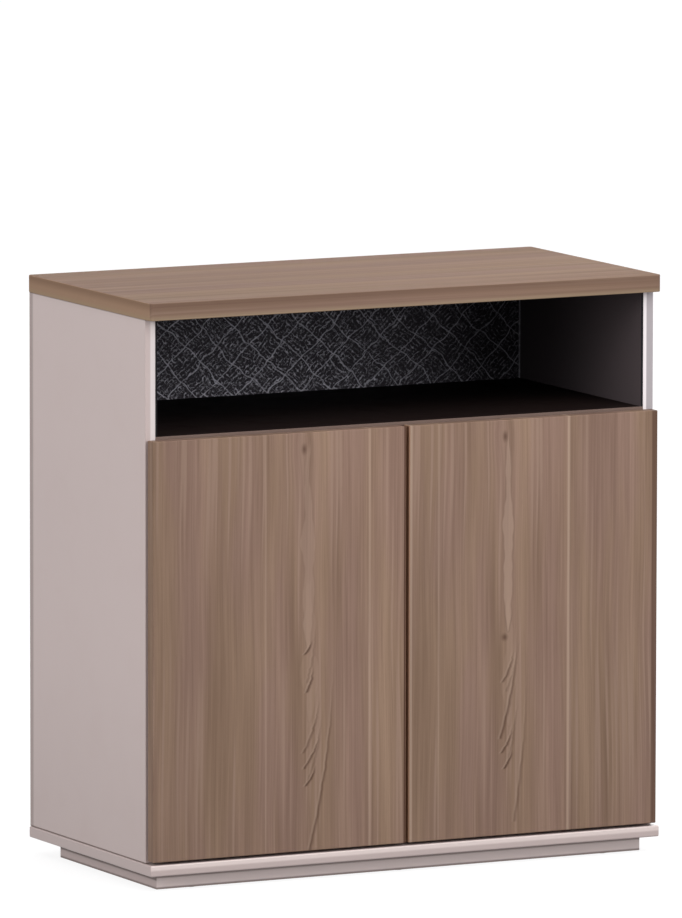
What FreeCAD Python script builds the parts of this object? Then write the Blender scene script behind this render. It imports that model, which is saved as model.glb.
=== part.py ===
"""Office credenza: open niche over a two-door cupboard on a recessed plinth.

Millimetres. +Z is up, -Y is the front and +X is to the right as seen from the front.
The origin is on the floor, under the centre of the overall box.
"""
import FreeCAD, Part
import math
import os
from FreeCAD import Vector

# ------------------------------------------------------------------ overall sizes
WIDTH = 820.0               # worktop and base plate, left to right
HEIGHT = 843.0              # floor to the top of the worktop
CARCASS_DEPTH = 380.0       # side panels, front to back
NICHE_HEIGHT = 168.0        # niche floor to the underside of the worktop
PLINTH_HEIGHT = 22.0        # plinth rails, above the glides
GLIDE_HEIGHT = 1.0          # what the glides lift the plinth off the floor

# ------------------------------------------------------------------ board thicknesses
TOP_BOARD = 25.0
SIDE_BOARD = 16.0
BASE_BOARD = 16.0
NICHE_FLOOR_BOARD = 18.0
LOOSE_SHELF_BOARD = 18.0
DOOR_BOARD = 18.0
PLINTH_BOARD = 18.0
LINER_BOARD = 3.0
BACK_BOARD = 5.0
EDGE_BAND = 2.0

# ------------------------------------------------------------------ reveals and overhangs
SIDE_INSET = 2.0            # worktop and base plate past the side panels
TOP_REAR_OVERHANG = 2.0     # worktop past the back of the side panels
TOP_FRONT_COVER = 1.0       # worktop past the door faces
BASE_LEDGE = 2.0            # base plate past the door faces
DOOR_GAP = 2.0              # door back to the front edges of the carcass
DOOR_SIDE_REVEAL = 2.5      # side panel's outer face past the door edge
DOOR_CENTRE_GAP = 5.0       # between the two doors
DOOR_BOTTOM_GAP = 4.0       # over the base plate
DOOR_TOP_REVEAL = 4.0       # niche floor showing over the doors
PLINTH_SIDE_INSET = 20.0    # plinth inside the ends of the base plate
PLINTH_FRONT_INSET = 23.0   # plinth behind the front of the base plate
PLINTH_BACK_INSET = 63.0    # plinth ahead of the back of the base plate
BACK_REBATE = 9.0           # lip of the side panel that the backs sit in
BACK_JOINT_GAP = 1.0        # between the two backs
SHELF_SIDE_GAP = 1.0        # loose shelf to the side panel, each end
SHELF_FRONT_SETBACK = 30.0  # loose shelf behind the front edge of the sides
SHELF_BACK_GAP = 2.0        # loose shelf to the cupboard's back

# ------------------------------------------------------------------ edges
TOP_CORNER_RADIUS = 6.0     # worktop's corners, seen from above
TOP_ARRIS = 1.2
DOOR_ARRIS = 1.2
BASE_ARRIS = 2.0
BAND_ARRIS = 0.6
SIDE_FOOT_ARRIS = 1.2       # side panel's lower outer edge, a fine groove over the base

# ------------------------------------------------------------------ knock-down fittings
DOWEL_RADIUS = 4.0
DOWEL_LENGTH = 30.0
DOWEL_END_GAP = 0.5
DOWEL_IN_TOP = 14.0         # dowel's reach into the worktop
DOWEL_IN_BASE = 10.0        # dowel's reach into the base plate
DOWEL_IN_SIDE = 10.0        # level dowel's reach into the side panel
DOWEL_FIT = 0.1             # radial
DOWEL_INSET = 38.0          # from the front and back of the side panel
DOWEL_CHAMFER = 1.0
CAM_RADIUS = 7.5
CAM_DEPTH = 12.5
CAM_FIT = 0.1               # radial
CAM_DISTANCE = 24.0         # joint face to the middle of the cam
CAM_INSET = 85.0            # from the front and back of the side panel
CAM_SLOT = 7.6              # mouth that takes the bolt's head
CAM_KEY_RADIUS = 2.2        # recess for the key in the cam's face
CAM_KEY_DEPTH = 2.0
BOLT_THREAD_RADIUS = 3.0
BOLT_THREAD_LENGTH = 10.5
BOLT_SHANK_RADIUS = 3.3
BOLT_NECK_RADIUS = 1.9
BOLT_HEAD_RADIUS = 3.2
BOLT_HEAD_LENGTH = 2.4
BOLT_FIT = 0.2              # radial

# ------------------------------------------------------------------ screws
SCREW_FIT = 0.05            # radial, shank in its pilot hole
PAN_HEAD_RISE = 0.55        # of the head's radius
PAN_HEAD_CROWN = 0.6        # flat top of the head, of its radius
BACK_SCREW_RADIUS = 1.6
BACK_SCREW_HEAD_RADIUS = 3.4
BACK_SCREW_LENGTH = 14.0
BACK_SCREW_END_INSET = 45.0
NICHE_SCREWS_PER_SIDE = 2
CUPBOARD_SCREWS_PER_SIDE = 4
SCREWS_PER_ROW = 3          # along the niche floor, in each back
ROW_SPREAD = 0.6            # row's length, of the inner width
ROW_EDGE_DISTANCE = 4.0     # from the niche floor's faces
BLOCK_SCREW_RADIUS = 2.2
BLOCK_SCREW_HEAD_RADIUS = 4.2
BLOCK_SCREW_LENGTH = 34.0

# ------------------------------------------------------------------ plinth blocks and glides
BLOCK_LEG = 58.0
BLOCK_SCREW_INSET = 17.4    # from the two rails that the block joins
GLIDE_RADIUS = 7.0
GLIDE_CHAMFER = 0.6
GLIDE_NAIL_RADIUS = 1.5
GLIDE_NAIL_LENGTH = 12.0

# ------------------------------------------------------------------ loose shelf's supports
PIN_RADIUS = 2.5
PIN_DEPTH = 9.0             # reach into the side panel
PIN_HOLE_DEPTH = 11.0
PIN_FIT = 0.1               # radial
PIN_TAB = 12.0              # reach under the shelf
PIN_TAB_WIDTH = 11.0
PIN_TAB_THICKNESS = 2.6
PIN_COLLAR_RADIUS = 4.25
PIN_ROW_INSET = 55.0        # hole rows from the front and back of the side panel
PIN_HOLE_PITCH = 64.0
PIN_HOLE_LEVEL = 296.0      # middle hole over the base plate, where the shelf rests
PIN_HOLE_STEPS = (-1, 0, 1)

# ------------------------------------------------------------------ concealed hinges
# Plan coordinates of one hinge: u runs from the door's hinge edge along the door, v from
# the door's back face into the cabinet. Two links, front and rear, carry the cup.
HINGE_INSET = 100.0         # hinge centres from the door's top and bottom
FRONT_ARM_PIVOT = (25.5, 11.5)
REAR_ARM_PIVOT = (34.0, 21.0)
FRONT_CUP_PIVOT = (9.2, -2.6)
REAR_CUP_PIVOT = (9.8, -8.2)
FRONT_LINK_BEND = (15.5, -6.3)
REAR_LINK_BEND = (23.0, -7.4)
CUP_RADIUS = 17.5
CUP_EDGE_DISTANCE = 4.0     # door edge to the cup
CUP_DEPTH = 14.0
CUP_WALL = 1.0
CUP_FIT = 0.15              # radial, cup in the door
CUP_CHEEK = 1.6             # inner walls of the cup that hold its pins
CUP_FLANGE = 1.2
CUP_EAR_PITCH = 48.0
CUP_EAR_OFFSET = 6.0
CUP_EAR_RADIUS = 6.0
CUP_SCREW_RADIUS = 1.9
CUP_SCREW_HEAD_RADIUS = 3.6
CUP_SCREW_LENGTH = 12.0
HINGE_PIN_RADIUS = 1.25
HINGE_PIN_FIT = 0.1         # radial
SLOT_TRAVEL = 2.0           # each way, for the pin in the rear link's slotted eye
SLOT_FIT = 0.4              # radial
SLOT_WALL = 0.5             # of the slotted eye
EYE_WALL = 1.1              # of the round eyes
LINK_PLATE = 1.4
REAR_LINK_HALF = 3.6        # half the rear link's width along the pins
LINK_GAP = 0.5              # between link, link, arm and cheek, along the pins
ARM_PLATE = 1.4
ARM_REAR = 68.0             # rear end of the arm, in v
ARM_RISE = 15.0             # arm's top at its rear, over the side panel
PLATE_SCREW_SETBACK = 37.0  # mounting screws behind the carcass front
PLATE_SCREW_PITCH = 32.0
PLATE_WING = 2.5
PLATE_EAR_RADIUS = 7.0
SADDLE_RISE = 9.5           # saddle's top over the side panel
SADDLE_FRONT = 30.0         # saddle's ends, in v
SADDLE_REAR = 64.0
SADDLE_GAP = 0.3            # saddle to the arm's cheeks
PLATE_SCREW_RADIUS = 2.6
PLATE_SCREW_HEAD_RADIUS = 4.4
PLATE_SCREW_LENGTH = 13.5
ARM_SCREW_RADIUS = 2.5
ARM_SCREW_HEAD_RADIUS = 4.0
ARM_SCREW_LENGTH = 12.0
ARM_SCREW_PLACES = (38.0, 55.0)

# ------------------------------------------------------------------ push-to-open latches
LATCH_OFFSET = 34.0         # from the cabinet's middle to each latch
LATCH_BODY_RADIUS = 7.0
LATCH_END_WALL = 12.0       # behind the plunger's bore
LATCH_BODY_SETBACK = 5.0    # housing's mouth behind the carcass front
LATCH_FLANGE = 2.5
LATCH_FLANGE_WIDTH = 34.0
LATCH_FLANGE_LENGTH = 40.0
LATCH_NECK_WIDTH = 9.8
LATCH_SCREW_HALF_PITCH = 12.0
LATCH_SCREW_RADIUS = 1.7
LATCH_SCREW_HEAD_RADIUS = 3.4
LATCH_SCREW_LENGTH = 11.0
PLUNGER_RADIUS = 4.0
PLUNGER_FIT = 0.35          # radial
PLUNGER_TRAVEL = 14.0
PLUNGER_GUIDE = 42.0        # plunger's length over its travel
PLUNGER_CHAMFER = 0.8
MAGNET_RADIUS = 4.8
MAGNET_LENGTH = 3.0
MAGNET_COLLAR = 1.0         # plunger's collar behind the magnet
MAGNET_CHAMFER = 0.5
STRIKE_RADIUS = 7.5
STRIKE_THICKNESS = 1.0
STRIKE_GAP = 0.3            # plunger's tip to the strike, door shut
STRIKE_PIN_RADIUS = 2.0
STRIKE_PIN_LENGTH = 8.0

# ------------------------------------------------------------------ bumper pads
BUMPER_RADIUS = 4.0
BUMPER_GAP = 0.3            # pad to the carcass, door shut
BUMPER_EDGE_INSET = 8.0     # from the door's free edge
BUMPER_TOP_RADIUS = 1.8
BUMPER_BEVEL = 0.7          # height of the pad's sloped part

# ------------------------------------------------------------------ places worked out from the sizes
half_width = WIDTH / 2
overall_depth = TOP_REAR_OVERHANG + CARCASS_DEPTH + DOOR_GAP + DOOR_BOARD + BASE_LEDGE
base_front = -overall_depth / 2
door_face = base_front + BASE_LEDGE
door_back = door_face + DOOR_BOARD
carcass_front = door_back + DOOR_GAP
carcass_back = carcass_front + CARCASS_DEPTH
top_front = door_face - TOP_FRONT_COVER
top_back = carcass_back + TOP_REAR_OVERHANG

plinth_top = GLIDE_HEIGHT + PLINTH_HEIGHT
base_top = plinth_top + BASE_BOARD
top_under = HEIGHT - TOP_BOARD
niche_floor_top = top_under - NICHE_HEIGHT
niche_floor_under = niche_floor_top - NICHE_FLOOR_BOARD
door_bottom = base_top + DOOR_BOTTOM_GAP
door_top = niche_floor_top - DOOR_TOP_REVEAL

side_outer = half_width - SIDE_INSET
side_inner = side_outer - SIDE_BOARD
side_middle = side_outer - SIDE_BOARD / 2
door_outer = side_outer - DOOR_SIDE_REVEAL
door_inner = DOOR_CENTRE_GAP / 2
back_face = carcass_back - BACK_BOARD
shelf_under = base_top + PIN_HOLE_LEVEL + PIN_RADIUS
hinge_levels = (door_bottom + HINGE_INSET, door_top - HINGE_INSET)


# ------------------------------------------------------------------ building blocks
def block(x0, x1, y0, y1, z0, z1):
    """A board between two corners."""
    return Part.makeBox(x1 - x0, y1 - y0, z1 - z0, Vector(x0, y0, z0))


def rod(radius, length, start, direction):
    """A round bar from start along direction."""
    return Part.makeCylinder(radius, length, Vector(*start), Vector(*direction))


def turned(profile, place, direction):
    """Revolve a (radius, height) outline; height runs along direction from place."""
    points = [Vector(r, 0, h) for r, h in profile]
    solid = Part.Face(Part.makePolygon(points + points[:1])).revolve(
        Vector(0, 0, 0), Vector(0, 0, 1), 360)
    turn = FreeCAD.Rotation(Vector(0, 0, 1), Vector(*direction))
    solid.Placement = FreeCAD.Placement(Vector(*place), turn)
    return solid


def extruded(points, height, z0):
    """Extrude a plan outline upwards from z0."""
    corners = [Vector(x, y, z0) for x, y in points]
    return Part.Face(Part.makePolygon(corners + corners[:1])).extrude(Vector(0, 0, height))


def rounded(solid, radius, wanted):
    """Fillet the edges that wanted(edge) picks."""
    return solid.makeFillet(radius, [edge for edge in solid.Edges if wanted(edge)])


def upright(edge):
    """Is this edge parallel to Z?"""
    a, b = edge.Vertexes[0].Point, edge.Vertexes[-1].Point
    return abs(a.x - b.x) + abs(a.y - b.y) < 1e-6


def at_level(*levels):
    """Pick the edges that lie in one of these horizontal planes."""
    def wanted(edge):
        box = edge.BoundBox
        return any(abs(box.ZMin - z) + abs(box.ZMax - z) < 1e-6 for z in levels)
    return wanted


def at_front(y):
    """Pick the edges that lie in the plane at this y."""
    def wanted(edge):
        return abs(edge.BoundBox.YMin - y) + abs(edge.BoundBox.YMax - y) < 1e-6
    return wanted


def cut(solid, tools):
    """Take every tool out of the solid."""
    return solid.cut(Part.makeCompound(tools)) if tools else solid


def fused(solids):
    """Join solids into one and clean the seams."""
    return solids[0].multiFuse(solids[1:]).removeSplitter()


def mirrored(shape):
    """The same shape on the other side of the cabinet."""
    return shape.mirror(Vector(0, 0, 0), Vector(1, 0, 0))


def both_sides(shapes):
    """The left-hand shapes followed by their mirror images."""
    return list(shapes) + [mirrored(shape) for shape in shapes]


def even(start, end, count):
    """Evenly spaced places from start to end."""
    step = (end - start) / (count - 1)
    return [start + step * i for i in range(count)]


# ------------------------------------------------------------------ knock-down fittings
def dowel(place, direction):
    """Fluted dowels are modelled smooth, with chamfered ends."""
    end = DOWEL_RADIUS - DOWEL_CHAMFER
    return turned([(0, 0), (end, 0), (DOWEL_RADIUS, DOWEL_CHAMFER),
                   (DOWEL_RADIUS, DOWEL_LENGTH - DOWEL_CHAMFER), (end, DOWEL_LENGTH),
                   (0, DOWEL_LENGTH)], place, direction)


def dowel_hole(place, direction):
    """Blind hole for one dowel, a little deeper than the dowel at both ends."""
    axis = Vector(*direction)
    start = Vector(*place) - axis * DOWEL_END_GAP
    return Part.makeCylinder(DOWEL_RADIUS + DOWEL_FIT, DOWEL_LENGTH + 2 * DOWEL_END_GAP,
                             start, axis)


def cam(place, direction, bolt_direction, depth):
    """Cam disc, sunk in a board's face, with its mouth round the bolt's head at a depth."""
    middle = Vector(*place) + Vector(*direction) * depth
    mouth = Part.makeCylinder(CAM_SLOT / 2, CAM_DISTANCE, middle, Vector(*bolt_direction))
    key = rod(CAM_KEY_RADIUS, CAM_KEY_DEPTH, place, direction)
    return rod(CAM_RADIUS, CAM_DEPTH, place, direction).cut(Part.makeCompound([mouth, key]))


def cam_hole(place, direction):
    """Pocket for one cam."""
    return rod(CAM_RADIUS + CAM_FIT, CAM_DEPTH + CAM_FIT, place, direction)


def bolt_profile():
    """Outline of a cam bolt."""
    neck = CAM_DISTANCE - BOLT_HEAD_LENGTH - CAM_SLOT / 2
    return [(0, -BOLT_THREAD_LENGTH), (BOLT_THREAD_RADIUS, -BOLT_THREAD_LENGTH),
            (BOLT_THREAD_RADIUS, 0), (BOLT_SHANK_RADIUS, 0),
            (BOLT_SHANK_RADIUS, neck), (BOLT_NECK_RADIUS, neck),
            (BOLT_NECK_RADIUS, CAM_DISTANCE - BOLT_HEAD_LENGTH),
            (BOLT_HEAD_RADIUS, CAM_DISTANCE - BOLT_HEAD_LENGTH),
            (BOLT_HEAD_RADIUS, CAM_DISTANCE), (0, CAM_DISTANCE)]


def cam_bolt(place, direction):
    """Threaded end in one board, head in the cam of the other."""
    return turned(bolt_profile(), place, direction)


def cam_bolt_hole(place, direction):
    """Drilling for one bolt, through the joint and into the cam's pocket."""
    radius = BOLT_SHANK_RADIUS + BOLT_FIT
    axis = Vector(*direction)
    start = Vector(*place) - axis * (BOLT_THREAD_LENGTH + BOLT_FIT)
    return Part.makeCylinder(radius, BOLT_THREAD_LENGTH + BOLT_FIT + CAM_DISTANCE, start, axis)


def joint_places():
    """Left-hand dowels and bolts by place and way; cams also by mouth and mouth's depth."""
    x = -side_middle
    rows = (carcass_front + DOWEL_INSET, carcass_back - DOWEL_INSET)
    cam_rows = (carcass_front + CAM_INSET, carcass_back - CAM_INSET)
    floor_middle = niche_floor_under + NICHE_FLOOR_BOARD / 2
    dowels, bolts, cams = [], [], []
    for y in rows:
        dowels.append(((x, y, base_top - DOWEL_IN_BASE), (0, 0, 1)))
        dowels.append(((x, y, top_under + DOWEL_IN_TOP), (0, 0, -1)))
        dowels.append(((-side_inner - DOWEL_IN_SIDE, y, floor_middle), (1, 0, 0)))
    for y in cam_rows:
        bolts.append(((x, y, base_top), (0, 0, 1)))
        cams.append(((-side_inner, y, base_top + CAM_DISTANCE), (-1, 0, 0), (0, 0, -1),
                     SIDE_BOARD / 2))
        bolts.append(((x, y, top_under), (0, 0, -1)))
        cams.append(((-side_inner, y, top_under - CAM_DISTANCE), (-1, 0, 0), (0, 0, 1),
                     SIDE_BOARD / 2))
        bolts.append(((-side_inner, y, floor_middle), (1, 0, 0)))
        cams.append(((-side_inner + CAM_DISTANCE, y, niche_floor_under), (0, 0, 1), (-1, 0, 0),
                     NICHE_FLOOR_BOARD / 2))
    return dowels, bolts, cams


def joint_holes():
    """Every hole of the knock-down fittings, on both sides of the cabinet."""
    dowels, bolts, cams = joint_places()
    holes = [dowel_hole(place, way) for place, way in dowels]
    holes += [cam_bolt_hole(place, way) for place, way in bolts]
    holes += [cam_hole(place, way) for place, way, _, _ in cams]
    return both_sides(holes)


def countersunk(radius, head_radius, length, place, direction, grow=0.0):
    """Countersunk screw with its head flush at place, driven along direction."""
    head = head_radius - radius
    return turned([(0, 0), (head_radius + grow, 0), (radius + grow, head + grow),
                   (radius + grow, length + grow), (0, length + grow)], place, direction)


def pan_head(radius, head_radius, length, place, direction):
    """Screw with a domed head that stands on place."""
    rise = head_radius * PAN_HEAD_RISE
    crown = head_radius * PAN_HEAD_CROWN
    return turned([(0, -rise), (crown, -rise), (head_radius, -rise / 2), (head_radius, 0),
                   (radius, 0), (radius, length), (0, length)], place, direction)


# ------------------------------------------------------------------ screw places
def back_screw_places():
    """Places of the screws that hold the two backs, across and up."""
    x = side_inner + BACK_REBATE / 2
    niche = even(niche_floor_top + BACK_SCREW_END_INSET, top_under - BACK_SCREW_END_INSET,
                 NICHE_SCREWS_PER_SIDE)
    cupboard = even(base_top + BACK_SCREW_END_INSET, niche_floor_under - BACK_SCREW_END_INSET,
                    CUPBOARD_SCREWS_PER_SIDE)
    rows = (niche_floor_under + ROW_EDGE_DISTANCE, niche_floor_top - ROW_EDGE_DISTANCE)
    reach = side_inner * ROW_SPREAD
    places = [(side * x, z) for side in (-1, 1) for z in niche + cupboard]
    return places + [(px, z) for z in rows for px in even(-reach, reach, SCREWS_PER_ROW)]


def back_screws(grow=0.0):
    """Countersunk screws through the backs, or their holes when grown."""
    return [countersunk(BACK_SCREW_RADIUS, BACK_SCREW_HEAD_RADIUS, BACK_SCREW_LENGTH,
                        (x, carcass_back, z), (0, -1, 0), grow)
            for x, z in back_screw_places()]


def block_corners():
    """Inner corners of the plinth frame with the way each block points."""
    x = half_width - PLINTH_SIDE_INSET - PLINTH_BOARD
    front = base_front + PLINTH_FRONT_INSET + PLINTH_BOARD
    back = carcass_back - PLINTH_BACK_INSET - PLINTH_BOARD
    return [(sx * x, y, -sx, sy) for sx in (-1, 1) for y, sy in ((front, 1), (back, -1))]


def block_screws(grow=0.0):
    """One screw up through each plinth block into the base plate."""
    inset = BLOCK_SCREW_INSET
    return [countersunk(BLOCK_SCREW_RADIUS, BLOCK_SCREW_HEAD_RADIUS, BLOCK_SCREW_LENGTH,
                        (x + sx * inset, y + sy * inset, GLIDE_HEIGHT), (0, 0, 1), grow)
            for x, y, sx, sy in block_corners()]


def glide(x, y):
    """Nailed glide: a low dome on a nail."""
    return turned([(0, 0), (GLIDE_RADIUS - GLIDE_CHAMFER, 0), (GLIDE_RADIUS, GLIDE_CHAMFER),
                   (GLIDE_RADIUS, GLIDE_HEIGHT), (GLIDE_NAIL_RADIUS, GLIDE_HEIGHT),
                   (GLIDE_NAIL_RADIUS, GLIDE_HEIGHT + GLIDE_NAIL_LENGTH),
                   (0, GLIDE_HEIGHT + GLIDE_NAIL_LENGTH)], (x, y, 0), (0, 0, 1))


def glide_places():
    """Under the plinth rails: near the four corners and at the middle of the long rails."""
    x = half_width - PLINTH_SIDE_INSET - BLOCK_LEG
    front = base_front + PLINTH_FRONT_INSET + PLINTH_BOARD / 2
    back = carcass_back - PLINTH_BACK_INSET - PLINTH_BOARD / 2
    return [(px, y) for y in (front, back) for px in (-x, 0.0, x)]


# ------------------------------------------------------------------ carcass boards
def worktop(holes):
    board = block(-half_width, half_width, top_front, top_back, top_under, HEIGHT)
    board = rounded(board, TOP_CORNER_RADIUS, upright)
    board = rounded(board, TOP_ARRIS, at_level(top_under, HEIGHT))
    return cut(board, holes)


def side_panel(holes):
    """Left side panel, rebated for the backs and drilled for every fitting."""
    board = block(-side_outer, -side_inner, carcass_front, carcass_back, base_top, top_under)
    board = rounded(board, SIDE_FOOT_ARRIS, lambda edge: at_level(base_top)(edge)
                    and edge.BoundBox.XMax < -side_middle)
    board = rounded(board, BAND_ARRIS, at_front(carcass_front))
    rebate = block(-side_inner - BACK_REBATE, -side_inner, back_face, carcass_back,
                   base_top, top_under)
    return cut(board, [rebate] + holes)


def base_plate(holes):
    board = block(-half_width, half_width, base_front, carcass_back, plinth_top, base_top)
    board = rounded(board, BASE_ARRIS, upright)
    board = rounded(board, BASE_ARRIS, at_level(plinth_top, base_top))
    return cut(board, holes)


def niche_floor(holes):
    board = block(-side_inner, side_inner, carcass_front + EDGE_BAND, back_face,
                  niche_floor_under, niche_floor_top)
    return cut(board, holes)


def niche_floor_edging():
    band = block(-side_inner, side_inner, carcass_front, carcass_front + EDGE_BAND,
                 niche_floor_under, niche_floor_top)
    return rounded(band, BAND_ARRIS, at_front(carcass_front))


def niche_liner():
    return block(-side_inner, -side_inner + LINER_BOARD, carcass_front + BAND_ARRIS, back_face,
                 niche_floor_top, top_under - LINER_BOARD)


def niche_ceiling():
    return block(-side_inner, side_inner, carcass_front + BAND_ARRIS, back_face,
                 top_under - LINER_BOARD, top_under)


def back_joint():
    """Height of the joint between the two backs, in the middle of the niche floor."""
    return niche_floor_under + NICHE_FLOOR_BOARD / 2


def back_panel(z0, z1, holes):
    reach = side_inner + BACK_REBATE
    return cut(block(-reach, reach, back_face, carcass_back, z0, z1), holes)


def shelf_pin_columns():
    return (carcass_front + PIN_ROW_INSET, carcass_back - PIN_ROW_INSET)


def shelf_pin_holes():
    """Drillings of the left side panel, in two columns."""
    return [rod(PIN_RADIUS + PIN_FIT, PIN_HOLE_DEPTH,
                (-side_inner, y, base_top + PIN_HOLE_LEVEL + step * PIN_HOLE_PITCH), (-1, 0, 0))
            for y in shelf_pin_columns() for step in PIN_HOLE_STEPS]


def shelf_support(y):
    """Left-hand support: a peg in the side panel with a tab under the shelf."""
    z = base_top + PIN_HOLE_LEVEL
    peg = rod(PIN_RADIUS, PIN_DEPTH + PIN_TAB, (-side_inner - PIN_DEPTH, y, z), (1, 0, 0))
    collar = rod(PIN_COLLAR_RADIUS, PIN_TAB_THICKNESS, (-side_inner, y, z), (1, 0, 0))
    collar = collar.common(block(-side_inner, -side_inner + PIN_TAB, y - PIN_TAB_WIDTH,
                                 y + PIN_TAB_WIDTH, base_top, shelf_under))
    tab = block(-side_inner, -side_inner + PIN_TAB, y - PIN_TAB_WIDTH / 2, y + PIN_TAB_WIDTH / 2,
                shelf_under - PIN_TAB_THICKNESS, shelf_under)
    return fused([peg, collar, tab])


def adjustable_shelf():
    reach = side_inner - SHELF_SIDE_GAP
    shelf = block(-reach, reach, carcass_front + SHELF_FRONT_SETBACK, back_face - SHELF_BACK_GAP,
                  shelf_under, shelf_under + LOOSE_SHELF_BOARD)
    return rounded(shelf, BAND_ARRIS, at_front(carcass_front + SHELF_FRONT_SETBACK))


# ------------------------------------------------------------------ plinth
def plinth_outline():
    """Outer rectangle of the plinth frame: left, right, front, back."""
    x = half_width - PLINTH_SIDE_INSET
    return -x, x, base_front + PLINTH_FRONT_INSET, carcass_back - PLINTH_BACK_INSET


def plinth_rails(holes):
    """Four rails, mitred at the corners."""
    left, right, front, back = plinth_outline()
    b = PLINTH_BOARD
    outlines = {
        "plinth_front": [(left, front), (right, front), (right - b, front + b),
                         (left + b, front + b)],
        "plinth_back": [(left, back), (left + b, back - b), (right - b, back - b),
                        (right, back)],
        "plinth_left": [(left, front), (left + b, front + b), (left + b, back - b),
                        (left, back)],
        "plinth_right": [(right, front), (right, back), (right - b, back - b),
                         (right - b, front + b)],
    }
    return {name: cut(extruded(points, PLINTH_HEIGHT, GLIDE_HEIGHT), holes)
            for name, points in outlines.items()}


def plinth_block(x, y, sx, sy, holes):
    """Triangular glue block in one corner of the plinth frame."""
    outline = [(x, y), (x + sx * BLOCK_LEG, y), (x, y + sy * BLOCK_LEG)]
    return cut(extruded(outline, PLINTH_HEIGHT, GLIDE_HEIGHT), holes)


# ------------------------------------------------------------------ doors
def door(holes):
    """Left door with its drillings."""
    board = block(-door_outer, -door_inner, door_face, door_back, door_bottom, door_top)
    board = board.makeFillet(DOOR_ARRIS, board.Edges)
    return cut(board, holes)


def door_bumper_places():
    """Left door's pads: two against the side panel, one against the niche floor's edge."""
    x = -side_middle
    inset = BUMPER_RADIUS + BUMPER_EDGE_INSET
    return [(x, door_bottom + inset), (x, door_top - inset),
            (-door_inner - inset, niche_floor_under + BUMPER_RADIUS + EDGE_BAND)]


def door_bumper(x, z):
    """Soft pad stuck on the door's back."""
    rise = DOOR_GAP - BUMPER_GAP
    return turned([(0, 0), (BUMPER_RADIUS, 0), (BUMPER_RADIUS, rise - BUMPER_BEVEL),
                   (BUMPER_TOP_RADIUS, rise), (0, rise)], (x, door_back, z), (0, 1, 0))


# ------------------------------------------------------------------ concealed hinges
cup_centre = (CUP_EDGE_DISTANCE + CUP_RADIUS, 0.0)
side_plane = door_outer - side_inner        # side panel's inner face, in u
front_link_half = REAR_LINK_HALF + LINK_GAP + LINK_PLATE
arm_half = front_link_half + LINK_GAP + ARM_PLATE
cheek_half = front_link_half + LINK_GAP + CUP_CHEEK
pin_bore = HINGE_PIN_RADIUS + HINGE_PIN_FIT
pin_eye = pin_bore + EYE_WALL


def plan(point):
    """Hinge plan coordinates to the cabinet's x and y, on the left door."""
    return -door_outer + point[0], door_back + point[1]


def moved(point, other, distance):
    """Plan point moved towards another by a distance."""
    du, dv = other[0] - point[0], other[1] - point[1]
    share = distance / math.hypot(du, dv)
    return point[0] + du * share, point[1] + dv * share


def disc(point, radius, z0, z1):
    """Upright round plate at a plan point, between two heights."""
    x, y = plan(point)
    return rod(radius, z1 - z0, (x, y, z0), (0, 0, 1))


def hull(a, b, radius, z0, z1):
    """Plate with the outline of a belt round two equal discs."""
    (ax, ay), (bx, by) = plan(a), plan(b)
    distance = math.hypot(bx - ax, by - ay)
    nx, ny = (ay - by) * radius / distance, (bx - ax) * radius / distance
    outline = [(ax + nx, ay + ny), (ax - nx, ay - ny), (bx - nx, by - ny), (bx + nx, by + ny)]
    return extruded(outline, z1 - z0, z0).multiFuse(
        [disc(a, radius, z0, z1), disc(b, radius, z0, z1)])


def chain(points, radius, z0, z1):
    """Bent bar through several plan points."""
    return fused([hull(a, b, radius, z0, z1) for a, b in zip(points, points[1:])])


def pair(make, half, thickness, level):
    """The same plate above and below the hinge's middle."""
    return [make(level + half - thickness, level + half),
            make(level - half, level - half + thickness)]


def rear_link(level):
    """Gooseneck bar in the middle; its cup end is a slotted eye."""
    z0, z1 = level - REAR_LINK_HALF, level + REAR_LINK_HALF
    slot_radius = HINGE_PIN_RADIUS + SLOT_FIT
    near = moved(REAR_CUP_PIVOT, REAR_ARM_PIVOT, SLOT_TRAVEL)
    far = moved(REAR_CUP_PIVOT, REAR_ARM_PIVOT, -SLOT_TRAVEL)
    bar = fused([chain([REAR_ARM_PIVOT, REAR_LINK_BEND, REAR_CUP_PIVOT], pin_eye, z0, z1),
                 hull(near, far, slot_radius + SLOT_WALL, z0, z1)])
    return cut(bar, [disc(REAR_ARM_PIVOT, pin_bore, z0, z1), hull(near, far, slot_radius, z0, z1)])


def front_link(level):
    """Pair of bent plates outside the rear link."""
    def plate(z0, z1):
        bar = chain([FRONT_ARM_PIVOT, FRONT_LINK_BEND, FRONT_CUP_PIVOT], pin_eye, z0, z1)
        return cut(bar, [disc(FRONT_ARM_PIVOT, pin_bore, z0, z1),
                         disc(FRONT_CUP_PIVOT, pin_bore, z0, z1)])
    return pair(plate, front_link_half, LINK_PLATE, level)


def arm_tail():
    """Rear end of the arm's top line."""
    return side_plane + ARM_RISE, ARM_REAR


def arm_screw_seats(level):
    """Places on the arm's top web where its two screws sit."""
    u, _ = arm_tail()
    return [(plan((u, v))[0], plan((u, v))[1], level) for v in ARM_SCREW_PLACES]


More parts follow.
